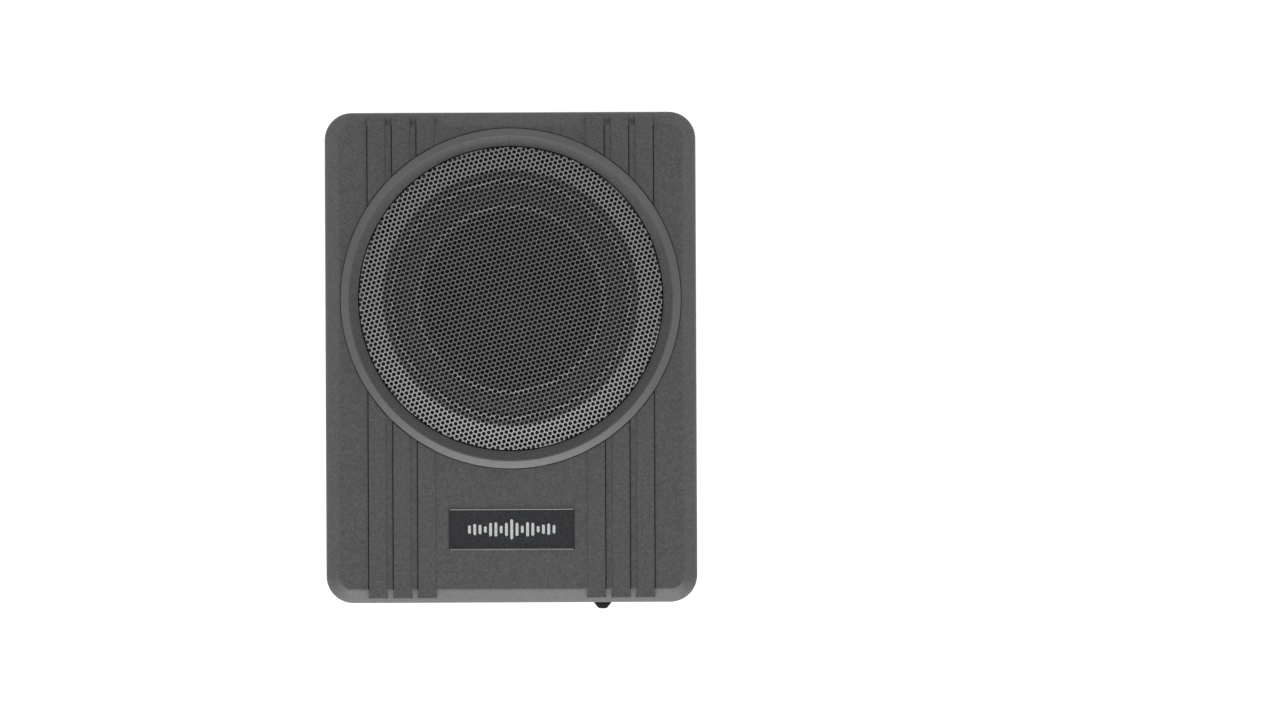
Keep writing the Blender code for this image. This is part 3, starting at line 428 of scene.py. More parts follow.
def baked(obj, sharp_degrees=32, weighted=True):
    """Apply an object's modifiers, remove their tools and smooth the result."""
    tools = [modifier.object for modifier in obj.modifiers if modifier.type == "BOOLEAN"]
    depsgraph = bpy.context.evaluated_depsgraph_get()
    mesh = bpy.data.meshes.new_from_object(obj.evaluated_get(depsgraph))
    obj.modifiers.clear()
    for tool in tools:
        bpy.data.objects.remove(tool, do_unlink=True)
    old = obj.data
    obj.data = mesh
    bpy.data.meshes.remove(old)
    mesh.shade_smooth()
    mesh.set_sharp_from_angle(angle=math.radians(sharp_degrees))
    if weighted:
        smoother = obj.modifiers.new("weights", "WEIGHTED_NORMAL")
        smoother.keep_sharp = True
        smoother.weight = 80
    return obj


def shape(obj, operation, bm):
    """Join or cut an object with a tool's solids."""
    bmesh.ops.recalc_face_normals(bm, faces=bm.faces)
    mesh = bpy.data.meshes.new("tool")
    bm.to_mesh(mesh)
    bm.free()
    tool = bpy.data.objects.new("tool", mesh)
    bpy.context.scene.collection.objects.link(tool)
    tool.hide_render = True
    modifier = obj.modifiers.new("shape", "BOOLEAN")
    modifier.operation = operation
    modifier.solver = "EXACT"
    modifier.object = tool


def add_box(bm, x, y, z):
    """A box from its ranges along X, Y and Z. Returns its vertices."""
    size = (x[1] - x[0], y[1] - y[0], z[1] - z[0])
    middle = ((x[0] + x[1]) / 2, (y[0] + y[1]) / 2, (z[0] + z[1]) / 2)
    place = Matrix.Translation(middle) @ Matrix.Diagonal((*size, 1.0))
    return bmesh.ops.create_cube(bm, size=1.0, matrix=place)["verts"]


def add_turned(bm, profile, segments, centre):
    """Spin a closed outline of (radius, height) points about an upright axis."""
    corners = [bm.verts.new((centre[0] + radius, centre[1], height)) for radius, height in profile]
    on_axis = [radius < 1e-9 for radius, height in profile]
    edges = []
    for index, corner in enumerate(corners):
        following = (index + 1) % len(corners)
        if not (on_axis[index] and on_axis[following]):
            edges.append(bm.edges.new((corner, corners[following])))
    bmesh.ops.spin(
        bm, geom=corners + edges, cent=(*centre, 0.0), axis=(0, 0, 1), angle=2 * math.pi, steps=segments,
        use_merge=True, use_duplicate=False,
    )
    bmesh.ops.remove_doubles(bm, verts=bm.verts, dist=MERGE_DISTANCE)


def rounded_outline(inset, corner_steps=14):
    """The enclosure's rounded rectangle, moved inwards by inset, as (x, y) points."""
    half_width = WIDTH / 2 - inset
    half_length = LENGTH / 2 - inset
    radius = max(CORNER - inset, 0.004)
    points = []
    for quarter, (sign_x, sign_y) in enumerate(((1, 1), (-1, 1), (-1, -1), (1, -1))):
        centre_x = sign_x * (half_width - radius)
        centre_y = CENTRE_Y + sign_y * (half_length - radius)
        for step in range(corner_steps + 1):
            angle = math.radians(90 * (quarter + step / corner_steps))
            points.append((centre_x + radius * math.cos(angle), centre_y + radius * math.sin(angle)))
    return points


def outline_rings(bm, levels):
    """Rings of vertices along the rounded outline, at (inset, z) levels."""
    return [[bm.verts.new((x, y, z)) for x, y in rounded_outline(inset)] for inset, z in levels]


def add_skin(bm, rings):
    """Faces between rings of equally many vertices, with both ends filled."""
    bm.faces.new(rings[0])
    bm.faces.new(rings[-1])
    for lower, upper in zip(rings, rings[1:]):
        for index, corner in enumerate(lower):
            following = (index + 1) % len(lower)
            bm.faces.new((corner, lower[following], upper[following], upper[index]))


def add_pill(bm, x, y, half_width, half_length, z, steps=8):
    """An upright bar with round ends, as seen from above."""
    rings = []
    for level, shrink in ((z[0], 0.0), (z[1] - 0.0001, 0.0), (z[1], 0.0001)):
        ring = []
        for end in (1, -1):
            for step in range(steps + 1):
                angle = math.pi * step / steps + (0.0 if end == 1 else math.pi)
                radius = half_width - shrink
                middle = y + end * (half_length - half_width)
                place = (x + radius * math.cos(angle), middle + radius * math.sin(angle), level)
                ring.append(bm.verts.new(place))
        rings.append(ring)
    add_skin(bm, rings)


# ---- Top cover ------------------------------------------------------------------------------


def rib_middles():
    """X of each rib's middle line, with the side that it lies on."""
    for side in (-1, 1):
        for number in range(3):
            yield side, side * (RIB_INNERMOST + RIB_WIDTH / 2 + number * RIB_PITCH)


def rib_section(side, middle, lowered):
    """A rib across its length: a steep foot and a soft slope inside, and a square edge outside."""
    half = RIB_WIDTH / 2
    crown = RIB_HEIGHT - lowered
    section = [
        (-half - RIB_SPREAD, -RIB_ROOT), (-half, 0.0), (-half + 0.0003, crown * 0.5),
        (-half + 0.0012, crown * 0.82), (-half + 0.0020, crown * 0.96), (-half + 0.0028, crown),
        (half - 0.0003, crown), (half - 0.0001, crown - 0.0001), (half, crown - 0.0003), (half, 0.0),
        (half + RIB_SPREAD, -RIB_ROOT),
    ]
    return [(middle + side * across, FLAT_Z + up) for across, up in section]


def add_ribs(bm):
    """Long bars whose ends stand up out of the chamfered edge."""
    end = LENGTH / 2 - RIB_END
    for side, middle in rib_middles():
        rings = []
        for along, lowered in ((-end, 0.0005), (-end + 0.0005, 0.0), (end - 0.0005, 0.0), (end, 0.0005)):
            section = rib_section(side, middle, lowered)
            rings.append([bm.verts.new((x, CENTRE_Y + along, z)) for x, z in section])
        add_skin(bm, rings)


def add_grooves(bm):
    """A narrow channel along the outer foot of each rib."""
    end = LENGTH / 2 - EDGE_PROFILE[-1][0] + 0.0008
    for side, middle in rib_middles():
        foot = middle + side * RIB_WIDTH / 2
        across = sorted((foot - side * 0.0001, foot + side * GROOVE_WIDTH))
        add_box(bm, across, (CENTRE_Y - end, CENTRE_Y + end), (FLAT_Z - GROOVE_DEPTH, FLAT_Z + 0.004))


def ring_profile():
    """The raised ring, the funnel, the grille's seat and the driver's ledge, as one outline."""
    up = FLAT_Z
    return [
        (RING_FOOT, up - 0.0014), (RING_FOOT, up + 0.0007), (RING_FOOT - 0.0002, up + 0.0010),
        (0.1143, up + 0.0043), (0.1138, up + 0.0045), (CREST_EDGE, up + 0.0044), (0.1128, up + 0.0040),
        (0.1077, up), (0.1070, up - 0.0006), (0.1069, up - 0.0012), (0.1069, 0.0620), (0.1056, 0.0620),
        (0.1056, SEAT_Z), (SEAT_RADIUS, SEAT_Z), (SEAT_RADIUS, LEDGE_Z), (LEDGE_RADIUS, LEDGE_Z),
        (LEDGE_RADIUS, LEDGE_Z - WALL), (0.1080, LEDGE_Z - WALL), (0.1090, 0.0600), (0.1125, up - 0.0021),
    ]


def make_cover():
    """The ribbed cover, rebuilt finely, with the outer slope of its ring in a smoother paint."""
    inner = [(WALL + inset, FLAT_Z - WALL - depth) for inset, depth in EDGE_PROFILE]
    outer = [(inset, FLAT_Z - depth) for inset, depth in EDGE_PROFILE]
    lip = 0.0004
    rim = [(WALL, RIM_Z), (lip, RIM_Z), (0.0, RIM_Z + lip)]
    bm = bmesh.new()
    add_skin(bm, outline_rings(bm, inner[::-1] + rim + outer))
    cover = finish_mesh("cover_shell", bm, "cover_coat")

    bm = bmesh.new()
    add_ribs(bm)
    shape(cover, "UNION", bm)
    bm = bmesh.new()
    add_grooves(bm)
    shape(cover, "DIFFERENCE", bm)
    bm = bmesh.new()
    moat = FLAT_Z - 0.0008
    opening = [
        (0.0, 0.050), (0.110, 0.050), (0.110, moat), (RING_FOOT + MOAT_WIDTH, moat),
        (RING_FOOT + MOAT_WIDTH, 0.090), (0.0, 0.090),
    ]
    add_turned(bm, opening, RING_SEGMENTS, DRIVER)
    shape(cover, "DIFFERENCE", bm)
    bm = bmesh.new()
    add_turned(bm, ring_profile(), RING_SEGMENTS, DRIVER)
    shape(cover, "UNION", bm)
    bm = bmesh.new()
    half_width = BADGE_WIDTH / 2
    half_length = BADGE_LENGTH / 2
    add_box(
        bm, (-half_width, half_width), (BADGE_Y - half_length, BADGE_Y + half_length),
        (FLAT_Z - BADGE_DEPTH, FLAT_Z + 0.01),
    )
    shape(cover, "DIFFERENCE", bm)
    baked(cover)
    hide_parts("top_cover")

    mesh = cover.data
    mesh.materials.append(FINISHES["ring_satin"].material)
    for face in mesh.polygons:
        radius = math.hypot(face.center.x - DRIVER[0], face.center.y - DRIVER[1])
        on_ring = CREST_EDGE < radius < RING_FOOT and face.center.z > FLAT_Z + 0.0008
        if on_ring and face.normal.z > 0.2:
            face.material_index = 1


def make_badge():
    """A sunk lacquered plate with a bright raised edge, and a generic row of level bars on it."""
    half_width = BADGE_WIDTH / 2 - GAP
    half_length = BADGE_LENGTH / 2 - GAP
    face_z = BADGE_TOP - 0.0006
    levels = (
        (0.0, FLAT_Z - 0.0005), (0.0, BADGE_TOP - 0.0001), (0.0001, BADGE_TOP), (0.0006, BADGE_TOP),
        (0.0008, BADGE_TOP - 0.0001), (0.0010, face_z),
    )
    bm = bmesh.new()
    rings = []
    for inset, z in levels:
        ring = []
        for x, y in ((1, 1), (-1, 1), (-1, -1), (1, -1)):
            ring.append(bm.verts.new((x * (half_width - inset), BADGE_Y + y * (half_length - inset), z)))
        rings.append(ring)
    add_skin(bm, rings)
    badge = finish_mesh("badge_face", bm, "badge_gloss")
    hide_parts("badge_plate")
    badge.data.materials.append(FINISHES["badge_trim"].material)
    for face in badge.data.polygons:
        on_long_edge = abs(face.center.y - BADGE_Y) > half_length - 0.0012
        if on_long_edge and face.center.z > BADGE_TOP - 0.00045:
            face.material_index = 1

    bm = bmesh.new()
    shortest = 0.0016
    swing_length = 0.0054
    bar_half_width = LEVEL_PITCH * 0.27
    bar_heights = (face_z - 0.0002, face_z + 0.0004)
    for number in range(-LEVEL_BARS, LEVEL_BARS + 1):
        swing = math.cos(number * 0.9) * math.exp(-abs(number) * 0.12)
        bar_half_length = shortest + swing_length * abs(swing)
        add_pill(bm, number * LEVEL_PITCH, BADGE_Y, bar_half_width, bar_half_length, bar_heights)
    finish_mesh("badge_level_bars", bm, "badge_silver")


# ---- Grille ---------------------------------------------------------------------------------


def grille_height(radius):
    """Height of the sheet's upper face above its rim."""
    skirt = min(max((radius - SKIRT_TOP) / (SKIRT_FOOT - SKIRT_TOP), 0.0), 1.0)
    if skirt > SKIRT_SHOULDER:
        eased = skirt - SKIRT_SHOULDER / 2
    else:
        eased = skirt * skirt / (2 * SKIRT_SHOULDER)
    height = SKIRT_DROP * (1 - eased / (1 - SKIRT_SHOULDER / 2))
    height += CROWN_RISE * (1 - min(radius / SKIRT_TOP, 1.0) ** 2)
    for crease in CREASES:
        distance = abs(radius - crease) / CREASE_HALF_WIDTH
        if distance < 1:
            height += CREASE_RISE * (1 + math.cos(math.pi * distance)) / 2
    return height


def inside_skirt(radius):
    """1 on the nearly flat middle of the sheet, falling to 0 on the skirt."""
    return 1 - min(max((radius - SKIRT_TOP + FADE_BEFORE) / FADE_WIDTH, 0.0), 1.0)


def rim_roll(radius):
    """How far a punched hole's edge is rolled down below the sheet."""
    return ROLL_DEPTH + ROLL_EXTRA * inside_skirt(radius)


def add_web(bm, corners, outer_radius):
    """A face of the sheet, unless all of it has been pushed onto the sheet's round edge."""
    loop = list(dict.fromkeys(corners))
    limit = outer_radius - SHEET_EDGE_MARGIN
    inside = any(math.hypot(v.co.x - DRIVER[0], v.co.y - DRIVER[1]) < limit for v in loop)
    if len(loop) > 2 and inside:
        bm.faces.new(loop)


def make_grille():
    """Perforated sheet: staggered holes, slightly drawn out in the middle, pressed to the profile."""
    outer_radius = GRILLE_RADIUS - 0.0001
    row_pitch = HOLE_PITCH * math.sqrt(3) / 2
    turn = math.radians(HOLE_ANGLE)
    along = Vector((math.cos(turn), math.sin(turn)))
    across = Vector((-math.sin(turn), math.cos(turn)))
    half = HOLE_PITCH / 2
    half_row = row_pitch / 2
    outline = (
        (half, 0.0), (half, half_row), (0.0, half_row), (-half, half_row),
        (-half, 0.0), (-half, -half_row), (0.0, -half_row), (half, -half_row),
    )
    rim_z = SEAT_Z + 0.0013
    bm = bmesh.new()
    known = {}

    def corner(point, sunk=0.0):
        """The vertex at a point, held inside the sheet's round edge."""
        if point.length > outer_radius:
            point = point * (outer_radius / point.length)
        key = (round(point.x * 1e6), round(point.y * 1e6))
        if key not in known:
            z = rim_z + grille_height(point.length) - sunk
            known[key] = bm.verts.new((DRIVER[0] + point.x, DRIVER[1] + point.y, z))
        return known[key]

    rows = int(outer_radius / row_pitch) + 2
    columns = int(outer_radius / HOLE_PITCH) + 2
    for row in range(-rows, rows + 1):
        for column in range(-columns, columns + 1):
            centre = along * (HOLE_PITCH * (column + 0.5 * (row % 2))) + across * (row_pitch * row)
            places = [centre + along * u + across * v for u, v in outline]
            if all(place.length > outer_radius for place in places):
                continue
            outer = [corner(place) for place in places]
            if centre.length < outer_radius + HOLE_RADIUS * 0.5:
                hole = []
                long_way = HOLE_RADIUS + DRAWN_OUT * inside_skirt(centre.length)
                for step in range(8):
                    angle = math.radians(45 * step)
                    rim = centre + along * math.cos(angle) * long_way + across * math.sin(angle) * HOLE_RADIUS
                    hole.append(corner(rim, rim_roll(centre.length)))
                for step in range(8):
                    following = (step + 1) % 8
                    add_web(bm, [outer[step], outer[following], hole[following], hole[step]], outer_radius)
            else:
                add_web(bm, outer, outer_radius)
    bmesh.ops.dissolve_degenerate(bm, edges=bm.edges, dist=MERGE_DISTANCE)
    for face in bm.faces:
        if face.normal.z < 0:
            face.normal_flip()
    mesh = bpy.data.meshes.new("grille_sheet")
    bm.to_mesh(mesh)
    bm.free()
    grille = bpy.data.objects.new("grille_sheet", mesh)
    bpy.context.scene.collection.objects.link(grille)
    mesh.materials.append(FINISHES["grille_coat"].material)
    thicken = grille.modifiers.new("thicken", "SOLIDIFY")
    thicken.thickness = SHEET
    thicken.offset = -1.0
    baked(grille, 45, weighted=False)
    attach(grille, "enclosure")
    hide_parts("grille")


# ---- Driver ---------------------------------------------------------------------------------


def make_turned_piece(name, profile, finish, node, body, segments=128):
    """A piece turned about the driver's axis that stands for a node."""
    bm = bmesh.new()
    add_turned(bm, profile, segments, DRIVER)
    piece = finish_mesh(name, bm, finish, body, 50)
    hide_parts(node)
    return piece


def set_radial_blend(piece, fixed_radius, moving_radius):
    """Weights that turn from the enclosure to the cone along the radius, not along a line."""
    weights = piece.data.attributes["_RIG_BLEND"].data
    for vertex, weight in zip(piece.data.vertices, weights):
        radius = math.hypot(vertex.co.x - DRIVER[0], vertex.co.y - DRIVER[1])
        part = min(max((fixed_radius - radius) / (fixed_radius - moving_radius), 0.0), 1.0)
        weight.value = part * part * (3 - 2 * part)


def blend_to_cone(piece, fixed_radius, moving_radius):
    x, y = DRIVER
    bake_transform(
        piece, "enclosure", "moving_cone",
        start=(x + fixed_radius, y, 0.06), end=(x + moving_radius, y, 0.06)
    )
    set_radial_blend(piece, fixed_radius, moving_radius)


def blended_mesh(name, bm, finish, node):
    piece = finish_mesh(name, bm, finish, None, 50)
    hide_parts(node)
    return piece


def make_surround():
    """The rubber half roll, on lips that lie on the basket and on the cone."""
    low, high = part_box("surround")
    lip_low = low[2]
    sheet = 0.0010
    crown = high[2] - lip_low - sheet
    middle = (SURROUND_OUTER + SURROUND_INNER) / 2
    roll = (SURROUND_OUTER - SURROUND_INNER) / 2
    outer_lip = 0.0890
    inner_lip = 0.0615
    upper = [(outer_lip, lip_low + sheet)]
    lower = [(outer_lip, lip_low)]
    steps = 18
    for step in range(steps + 1):
        angle = math.pi * step / steps
        across = math.cos(angle)
        up = math.sin(angle)
        upper.append((middle + roll * across, lip_low + sheet + crown * up))
        lower.append((middle + (roll - sheet) * across, lip_low + crown * up))
    upper.append((inner_lip, lip_low + sheet))
    lower.append((inner_lip, lip_low))
    bm = bmesh.new()
    add_turned(bm, upper + lower[::-1], 128, DRIVER)
    surround = blended_mesh("surround_roll", bm, "black_rubber", "surround")
    blend_to_cone(surround, SURROUND_OUTER, SURROUND_INNER)


def make_spider():
    """The corrugated cloth disc that centres the voice coil."""
    low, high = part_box("spider")
    sheet = 0.0005
    inner = 0.0189
    fixed = 0.0460
    steps = 72
    upper = [(0.0540, low[2] + sheet)]
    for step in range(steps + 1):
        part = step / steps
        radius = fixed + (inner + 0.0020 - fixed) * part
        wave = (1 - math.cos(part * 2 * math.pi * 4)) / 2
        upper.append((radius, low[2] + sheet + (high[2] - low[2] - sheet) * wave))
    upper.append((inner, low[2] + sheet))
    lower = [(radius, z - sheet) for radius, z in upper[::-1]]
    bm = bmesh.new()
    add_turned(bm, upper + lower, 96, DRIVER)
    spider = blended_mesh("spider_disc", bm, "spider_cloth", "spider")
    blend_to_cone(spider, fixed, inner + 0.0020)


def make_tinsel_leads():
    """Braided leads from the terminal board to the cone's neck, twisted from three strands."""
    route = (  # (distance from the driver's axis, height)
        (0.0235, 0.0450), (0.0290, 0.0442), (0.0360, 0.0441),
        (0.0440, 0.0450), (0.0510, 0.0462), (0.0570, 0.0475),
    )
    steps = 90
    twist = 0.00032  # distance of a strand from the lead's middle
    strand_radius = 0.00034
    for side, x in (("left", -0.006), ("right", 0.006)):
        bm = bmesh.new()
        for strand in range(3):
            rings = []
            for step in range(steps + 1):
                part = step / steps * (len(route) - 1)
                index = min(int(part), len(route) - 2)
                (near, near_z), (far, far_z) = route[index], route[index + 1]
                distance = near + (far - near) * (part - index)
                height = near_z + (far_z - near_z) * (part - index)
                turn = 2 * math.pi * (strand / 3 + step / 10)
                centre = (x + twist * math.cos(turn), height + twist * math.sin(turn))
                ring = []
                for corner in range(6):
                    angle = math.pi * corner / 3
                    across = centre[0] + strand_radius * math.cos(angle)
                    up = centre[1] + strand_radius * math.sin(angle)
                    ring.append(bm.verts.new((across, DRIVER[1] - distance, up)))
                rings.append(ring)
            add_skin(bm, rings)
        lead = blended_mesh(f"tinsel_braid_{side}", bm, "copper", f"tinsel_lead_{side}")
        fixed = (x, DRIVER[1] - route[-1][0], route[-1][1])
        moving = (x, DRIVER[1] - route[0][0], route[0][1])
        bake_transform(lead, "enclosure", "moving_cone", start=fixed, end=moving)


def make_driver():
    """The driver's round parts, finer than in the CAD model."""
    neck = (0.0189, 0.0463)
    rim = (0.0615, 0.0600)
    thickness = 0.0010
    steps = 16
    upper = []
    for step in range(steps + 1):
        part = step / steps
        bulge = 0.0006 * math.sin(math.pi * part)
        upper.append((rim[0] + (neck[0] - rim[0]) * part, rim[1] + (neck[1] - rim[1]) * part - bulge))
    upper = [(0.0643, rim[1])] + upper
    lower = [(radius, z - thickness) for radius, z in upper[::-1]]
    make_turned_piece("cone_body", upper + lower, "cone_paper", "cone", "moving_cone")

    low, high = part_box("dust_cap")
    rim_radius = (high[0] - low[0]) / 2
    sheet = 0.0008
    rise = high[2] - low[2] - sheet
    upper = []
    for step in range(steps + 1):
        part = 1 - step / steps
        upper.append((rim_radius * part, low[2] + sheet + rise * (1 - part * part)))
    lower = [(radius, z - sheet) for radius, z in upper[::-1]]
    make_turned_piece("dust_cap_dome", upper + lower, "cone_paper", "dust_cap", "moving_cone")

    low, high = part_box("basket_gasket")
    outer = (high[0] - low[0]) / 2
    edge = 0.0004
    profile = [
        (outer - 0.006, low[2]), (outer, low[2]), (outer, high[2] - edge), (outer - edge, high[2]),
        (outer - 0.006 + edge, high[2]), (outer - 0.006, high[2] - edge),
    ]
    make_turned_piece("gasket_ring", profile, "black_rubber", "basket_gasket", "enclosure")
    make_surround()
    make_spider()
    make_tinsel_leads()


# ---- Connection bay -------------------------------------------------------------------------

INK = (PANEL_FRONT - 0.00006, PANEL_FRONT + 0.0002)  # a printed mark's range along Y


def middle_of(node):
    low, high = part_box(node)
    return (low[0] + high[0]) / 2, (low[2] + high[2]) / 2


def add_turned_along_y(bm, profile, x, z, segments=48, flutes=0):
    """Rings about an axis along Y, from (radius, y, depth of the flutes) points, closed at both ends."""
    rings = []
    for radius, y, depth in profile:
        ring = []
        for step in range(segments):
            angle = 2 * math.pi * step / segments
            reach = radius - depth * (0.5 - 0.5 * math.cos(angle * flutes)) ** 2
            ring.append(bm.verts.new((x + reach * math.cos(angle), y, z + reach * math.sin(angle))))
        rings.append(ring)
    add_skin(bm, rings)


def make_knob(body, node, radii, flutes, flute_depth):
    """A fluted knob with a printed pointer."""
    low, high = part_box(node)
    x, z = middle_of(node)
    skirt, waist, tip = radii
    back = PANEL_FRONT - GAP
    front = low[1]
    shaft = 0.0029
    cone_start = front + (0.0040 if skirt > waist + 0.0005 else 0.0008)
    profile = [
        (shaft, high[1], 0.0), (shaft, back, 0.0), (skirt - 0.0002, back, 0.0), (skirt, back - 0.0003, 0.0),
        (skirt, back - 0.0014, 0.0), (skirt - 0.0004, back - 0.0018, 0.0),
        (waist, back - 0.0024, flute_depth), (waist, cone_start, flute_depth),
        (tip + 0.0007, front + 0.0008, 0.0), (tip + 0.0002, front + 0.0003, 0.0),
        (tip - 0.0004, front + 0.00005, 0.0),
    ]
    bm = bmesh.new()
    add_turned_along_y(bm, profile, x, z, flutes * 8, flutes)
    knob = finish_mesh(f"{body}_fluted_knob", bm, "knob_plastic", body, 40)
    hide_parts(node)
    bm = bmesh.new()
    line = 0.00035
    add_box(bm, (x - line, x + line), (front, front + 0.0010), (z + 0.0006, z + tip - 0.0006))
    finish_mesh(f"{body}_pointer", bm, "printed_white", body)


def add_ticks(bm, x, z, inner, lengths):
    """Marks round a knob, over the 300 degrees that it turns."""
    count = len(lengths)
    for number, length in enumerate(lengths):
        angle = math.radians(-150 + 300 * number / (count - 1))
        corners = add_box(bm, (-0.00016, 0.00016), INK, (inner, inner + length))
        turn = Matrix.Translation((x, 0.0, z)) @ Matrix.Rotation(angle, 4, "Y")
        bmesh.ops.transform(bm, matrix=turn, verts=corners)


def add_frame(bm, node, margin):
    """A printed line round a socket."""
    low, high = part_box(node)
    line = 0.00028
    left, right = low[0] - margin, high[0] + margin
    bottom, top = low[2] - margin, high[2] + margin
    for x in ((left - line, left), (right, right + line)):
        add_box(bm, x, INK, (bottom - line, top + line))
    for z in ((bottom - line, bottom), (top, top + line)):
        add_box(bm, (left, right), INK, z)


def make_bay_details():
    """Knobs, printed marks, and the small parts inside the sockets."""
    make_knob("gain", "gain_knob", (0.0067, 0.0062, 0.0030), 18, 0.00030)
    make_knob("low_pass", "low_pass_knob", (0.0050, 0.0048, 0.0037), 14, 0.00030)
    make_knob("bass_boost", "bass_boost_knob", (0.0050, 0.0048, 0.0037), 14, 0.00030)

    bm = bmesh.new()
    for node, inner in (("gain_knob", 0.0074), ("low_pass_knob", 0.0058), ("bass_boost_knob", 0.0058)):
        x, z = middle_of(node)
        add_ticks(bm, x, z, inner, [0.0009 if number % 5 == 0 else 0.0005 for number in range(11)])
    for node in ("remote_socket", "high_level_socket"):
        add_frame(bm, node, 0.0008)
    finish_mesh("panel_print", bm, "printed_white")

    for node, finish in (("rca_jack_upper", "white_nylon"), ("rca_jack_lower", "red_nylon")):
        low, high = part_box(node)
        x, z = middle_of(node)
        bm = bmesh.new()
        rings = []
        for radius, y in (
            (0.0017, low[1] + 0.0020), (0.0017, low[1] - 0.0003), (0.0033, low[1] - 0.0003),
            (0.0035, low[1] - 0.0001), (0.0035, low[1] + 0.0020),
        ):
            ring = []
            for step in range(40):
                angle = 2 * math.pi * step / 40
                ring.append(bm.verts.new((x + radius * math.cos(angle), y, z + radius * math.sin(angle))))
            rings.append(ring)
        for near, far in zip(rings, rings[1:] + rings[:1]):
            for index, corner in enumerate(near):
                following = (index + 1) % len(near)
                bm.faces.new((corner, near[following], far[following], far[index]))
        finish_mesh(f"{node}_insulator", bm, finish)

    low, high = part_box("power_terminal")
    screw_spacing = 0.0075
    screws_x = [(low[0] + high[0]) / 2 + number * screw_spacing for number in (-1, 0, 1)]
    z = high[2] - 0.0045
    face = low[1] + 0.0008
    radius = 0.0022
    profile = [(radius, face + 0.0010, 0.0), (radius, face + 0.0002, 0.0), (radius - 0.0002, face, 0.0)]
    bm = bmesh.new()
    for x in screws_x:
        add_turned_along_y(bm, profile, x, z, 32)
    screws = finish_mesh("terminal_clamp_screws", bm, "nickel")
    bm = bmesh.new()
    for x in screws_x:
        add_box(bm, (x - 0.0019, x + 0.0019), (low[1], low[1] + 0.0013), (z - 0.0003, z + 0.0003))
    shape(screws, "DIFFERENCE", bm)
    baked(screws)


# ---- Stage ----------------------------------------------------------------------------------


def make_stage():
    """A wide pale floor."""
    bm = bmesh.new()
    bmesh.ops.create_grid(bm, x_segments=1, y_segments=1, size=6.0)
    mesh = bpy.data.meshes.new("floor")
    bm.to_mesh(mesh)
    bm.free()
    floor = bpy.data.objects.new("floor", mesh)
    floor.location.z = -FLOOR_DROP
    bpy.context.scene.collection.objects.link(floor)
    pale = bpy.data.materials.new("floor_pale")
    pale.use_nodes = True
    shader = pale.node_tree.nodes["Principled BSDF"]
    shader.inputs["Base Color"].default_value = (0.45, 0.45, 0.45, 1.0)
    shader.inputs["Roughness"].default_value = 0.9
    shader.inputs["Specular IOR Level"].default_value = 0.1
    shader.inputs["Emission Color"].default_value = (1.0, 1.0, 1.0, 1.0)
    shader.inputs["Emission Strength"].default_value = 0.80
    mesh.materials.append(pale)


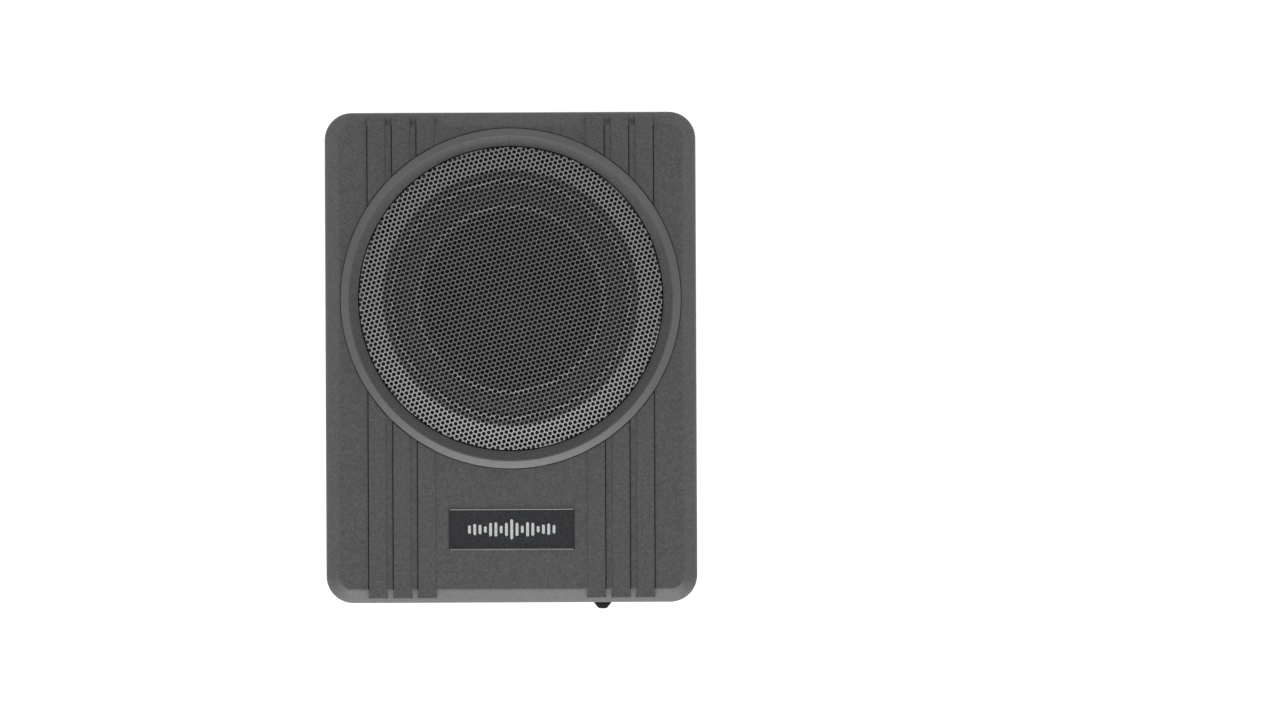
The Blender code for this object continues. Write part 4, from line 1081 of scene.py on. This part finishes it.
def make_world():
    """Studio surroundings: pale all round, brighter towards the front, and dark straight overhead."""
    world = bpy.data.worlds.new("studio")
    bpy.context.scene.world = world
    world.use_nodes = True
    nodes = world.node_tree.nodes
    links = world.node_tree.links

    def join(value, socket):
        if isinstance(value, bpy.types.NodeSocket):
            links.new(value, socket)
        else:
            socket.default_value = value

    def math_node(operation, first, second):
        made = nodes.new("ShaderNodeMath")
        made.operation = operation
        join(first, made.inputs[0])
        join(second, made.inputs[1])
        return made.outputs["Value"]

    def stretch(value, low, high, to_low, to_high):
        made = nodes.new("ShaderNodeMapRange")
        made.interpolation_type = "SMOOTHSTEP"
        for name, number in zip(("From Min", "From Max", "To Min", "To Max"), (low, high, to_low, to_high)):
            made.inputs[name].default_value = number
        join(value, made.inputs["Value"])
        return made.outputs["Result"]

    parts = nodes.new("ShaderNodeSeparateXYZ")
    links.new(nodes.new("ShaderNodeTexCoord").outputs["Generated"], parts.inputs["Vector"])
    along = parts.outputs["Y"]
    up = parts.outputs["Z"]
    around = stretch(up, *LIGHT_RISE, LOW_LIGHT, HIGH_LIGHT)
    ends = math_node("MULTIPLY", math_node("MULTIPLY", along, along), END_LIGHT)
    front = math_node("MULTIPLY", math_node("MAXIMUM", math_node("MULTIPLY", along, -1.0), 0.0), FRONT_LIGHT)
    total = math_node("ADD", math_node("ADD", around, ends), front)
    tilt = math.radians(DARK_TILT)
    overhead = math_node(
        "ADD", math_node("MULTIPLY", up, math.cos(tilt)), math_node("MULTIPLY", along, math.sin(tilt))
    )
    open_sky = stretch(overhead, *DARK_EDGE, 1.0, DARK_SHARE)
    lighting = math_node("MULTIPLY", total, open_sky)
    seen = nodes.new("ShaderNodeLightPath").outputs["Is Camera Ray"]
    links.new(math_node("MAXIMUM", lighting, seen), nodes["Background"].inputs["Strength"])
    nodes["Background"].inputs["Color"].default_value = (1.0, 1.0, 1.0, 1.0)


def add_light(name, place, target, size, power):
    """A soft rectangular light aimed at a point, not seen directly."""
    light = bpy.data.lights.new(name, "AREA")
    light.shape = "RECTANGLE"
    light.size, light.size_y = size
    light.energy = power
    obj = bpy.data.objects.new(name, light)
    obj.location = place
    obj.rotation_euler = (Vector(target) - Vector(place)).to_track_quat("-Z", "Y").to_euler()
    obj.visible_camera = False
    bpy.context.scene.collection.objects.link(obj)


def make_lights():
    """A low panel in front, and two weaker ones behind the far corners."""
    add_light("front_panel", (0.0, -1.3, 0.22), (0.0, 0.0, 0.06), (2.0, 0.30), 19.0)
    for side in (-1, 1):
        add_light(f"rear_panel_{side}", (side * 1.0, 1.0, 0.40), (0.0, 0.0, 0.06), (0.9, 0.35), 4.0)


def make_camera():
    """Straight down over the cover, with the object left of the frame's middle."""
    view_distance = 2.0
    view_width = 0.896  # across the frame, at the cover's flat top
    camera = bpy.data.cameras.new("camera")
    camera.sensor_width = 36.0
    camera.lens = camera.sensor_width * view_distance / view_width
    camera.shift_x = 0.1008
    camera.shift_y = -0.002
    obj = bpy.data.objects.new("camera", camera)
    obj.location = (0.0, CENTRE_Y, FLAT_Z + view_distance)
    obj.rotation_euler = (0.0, 0.0, math.radians(-0.25))
    bpy.context.scene.collection.objects.link(obj)
    bpy.context.scene.camera = obj


make_camera()
make_stage()
make_world()
make_lights()
bpy.context.scene.view_settings.view_transform = "Standard"

dress_cad_nodes()
make_cover()
make_badge()
make_grille()
make_driver()
make_bay_details()
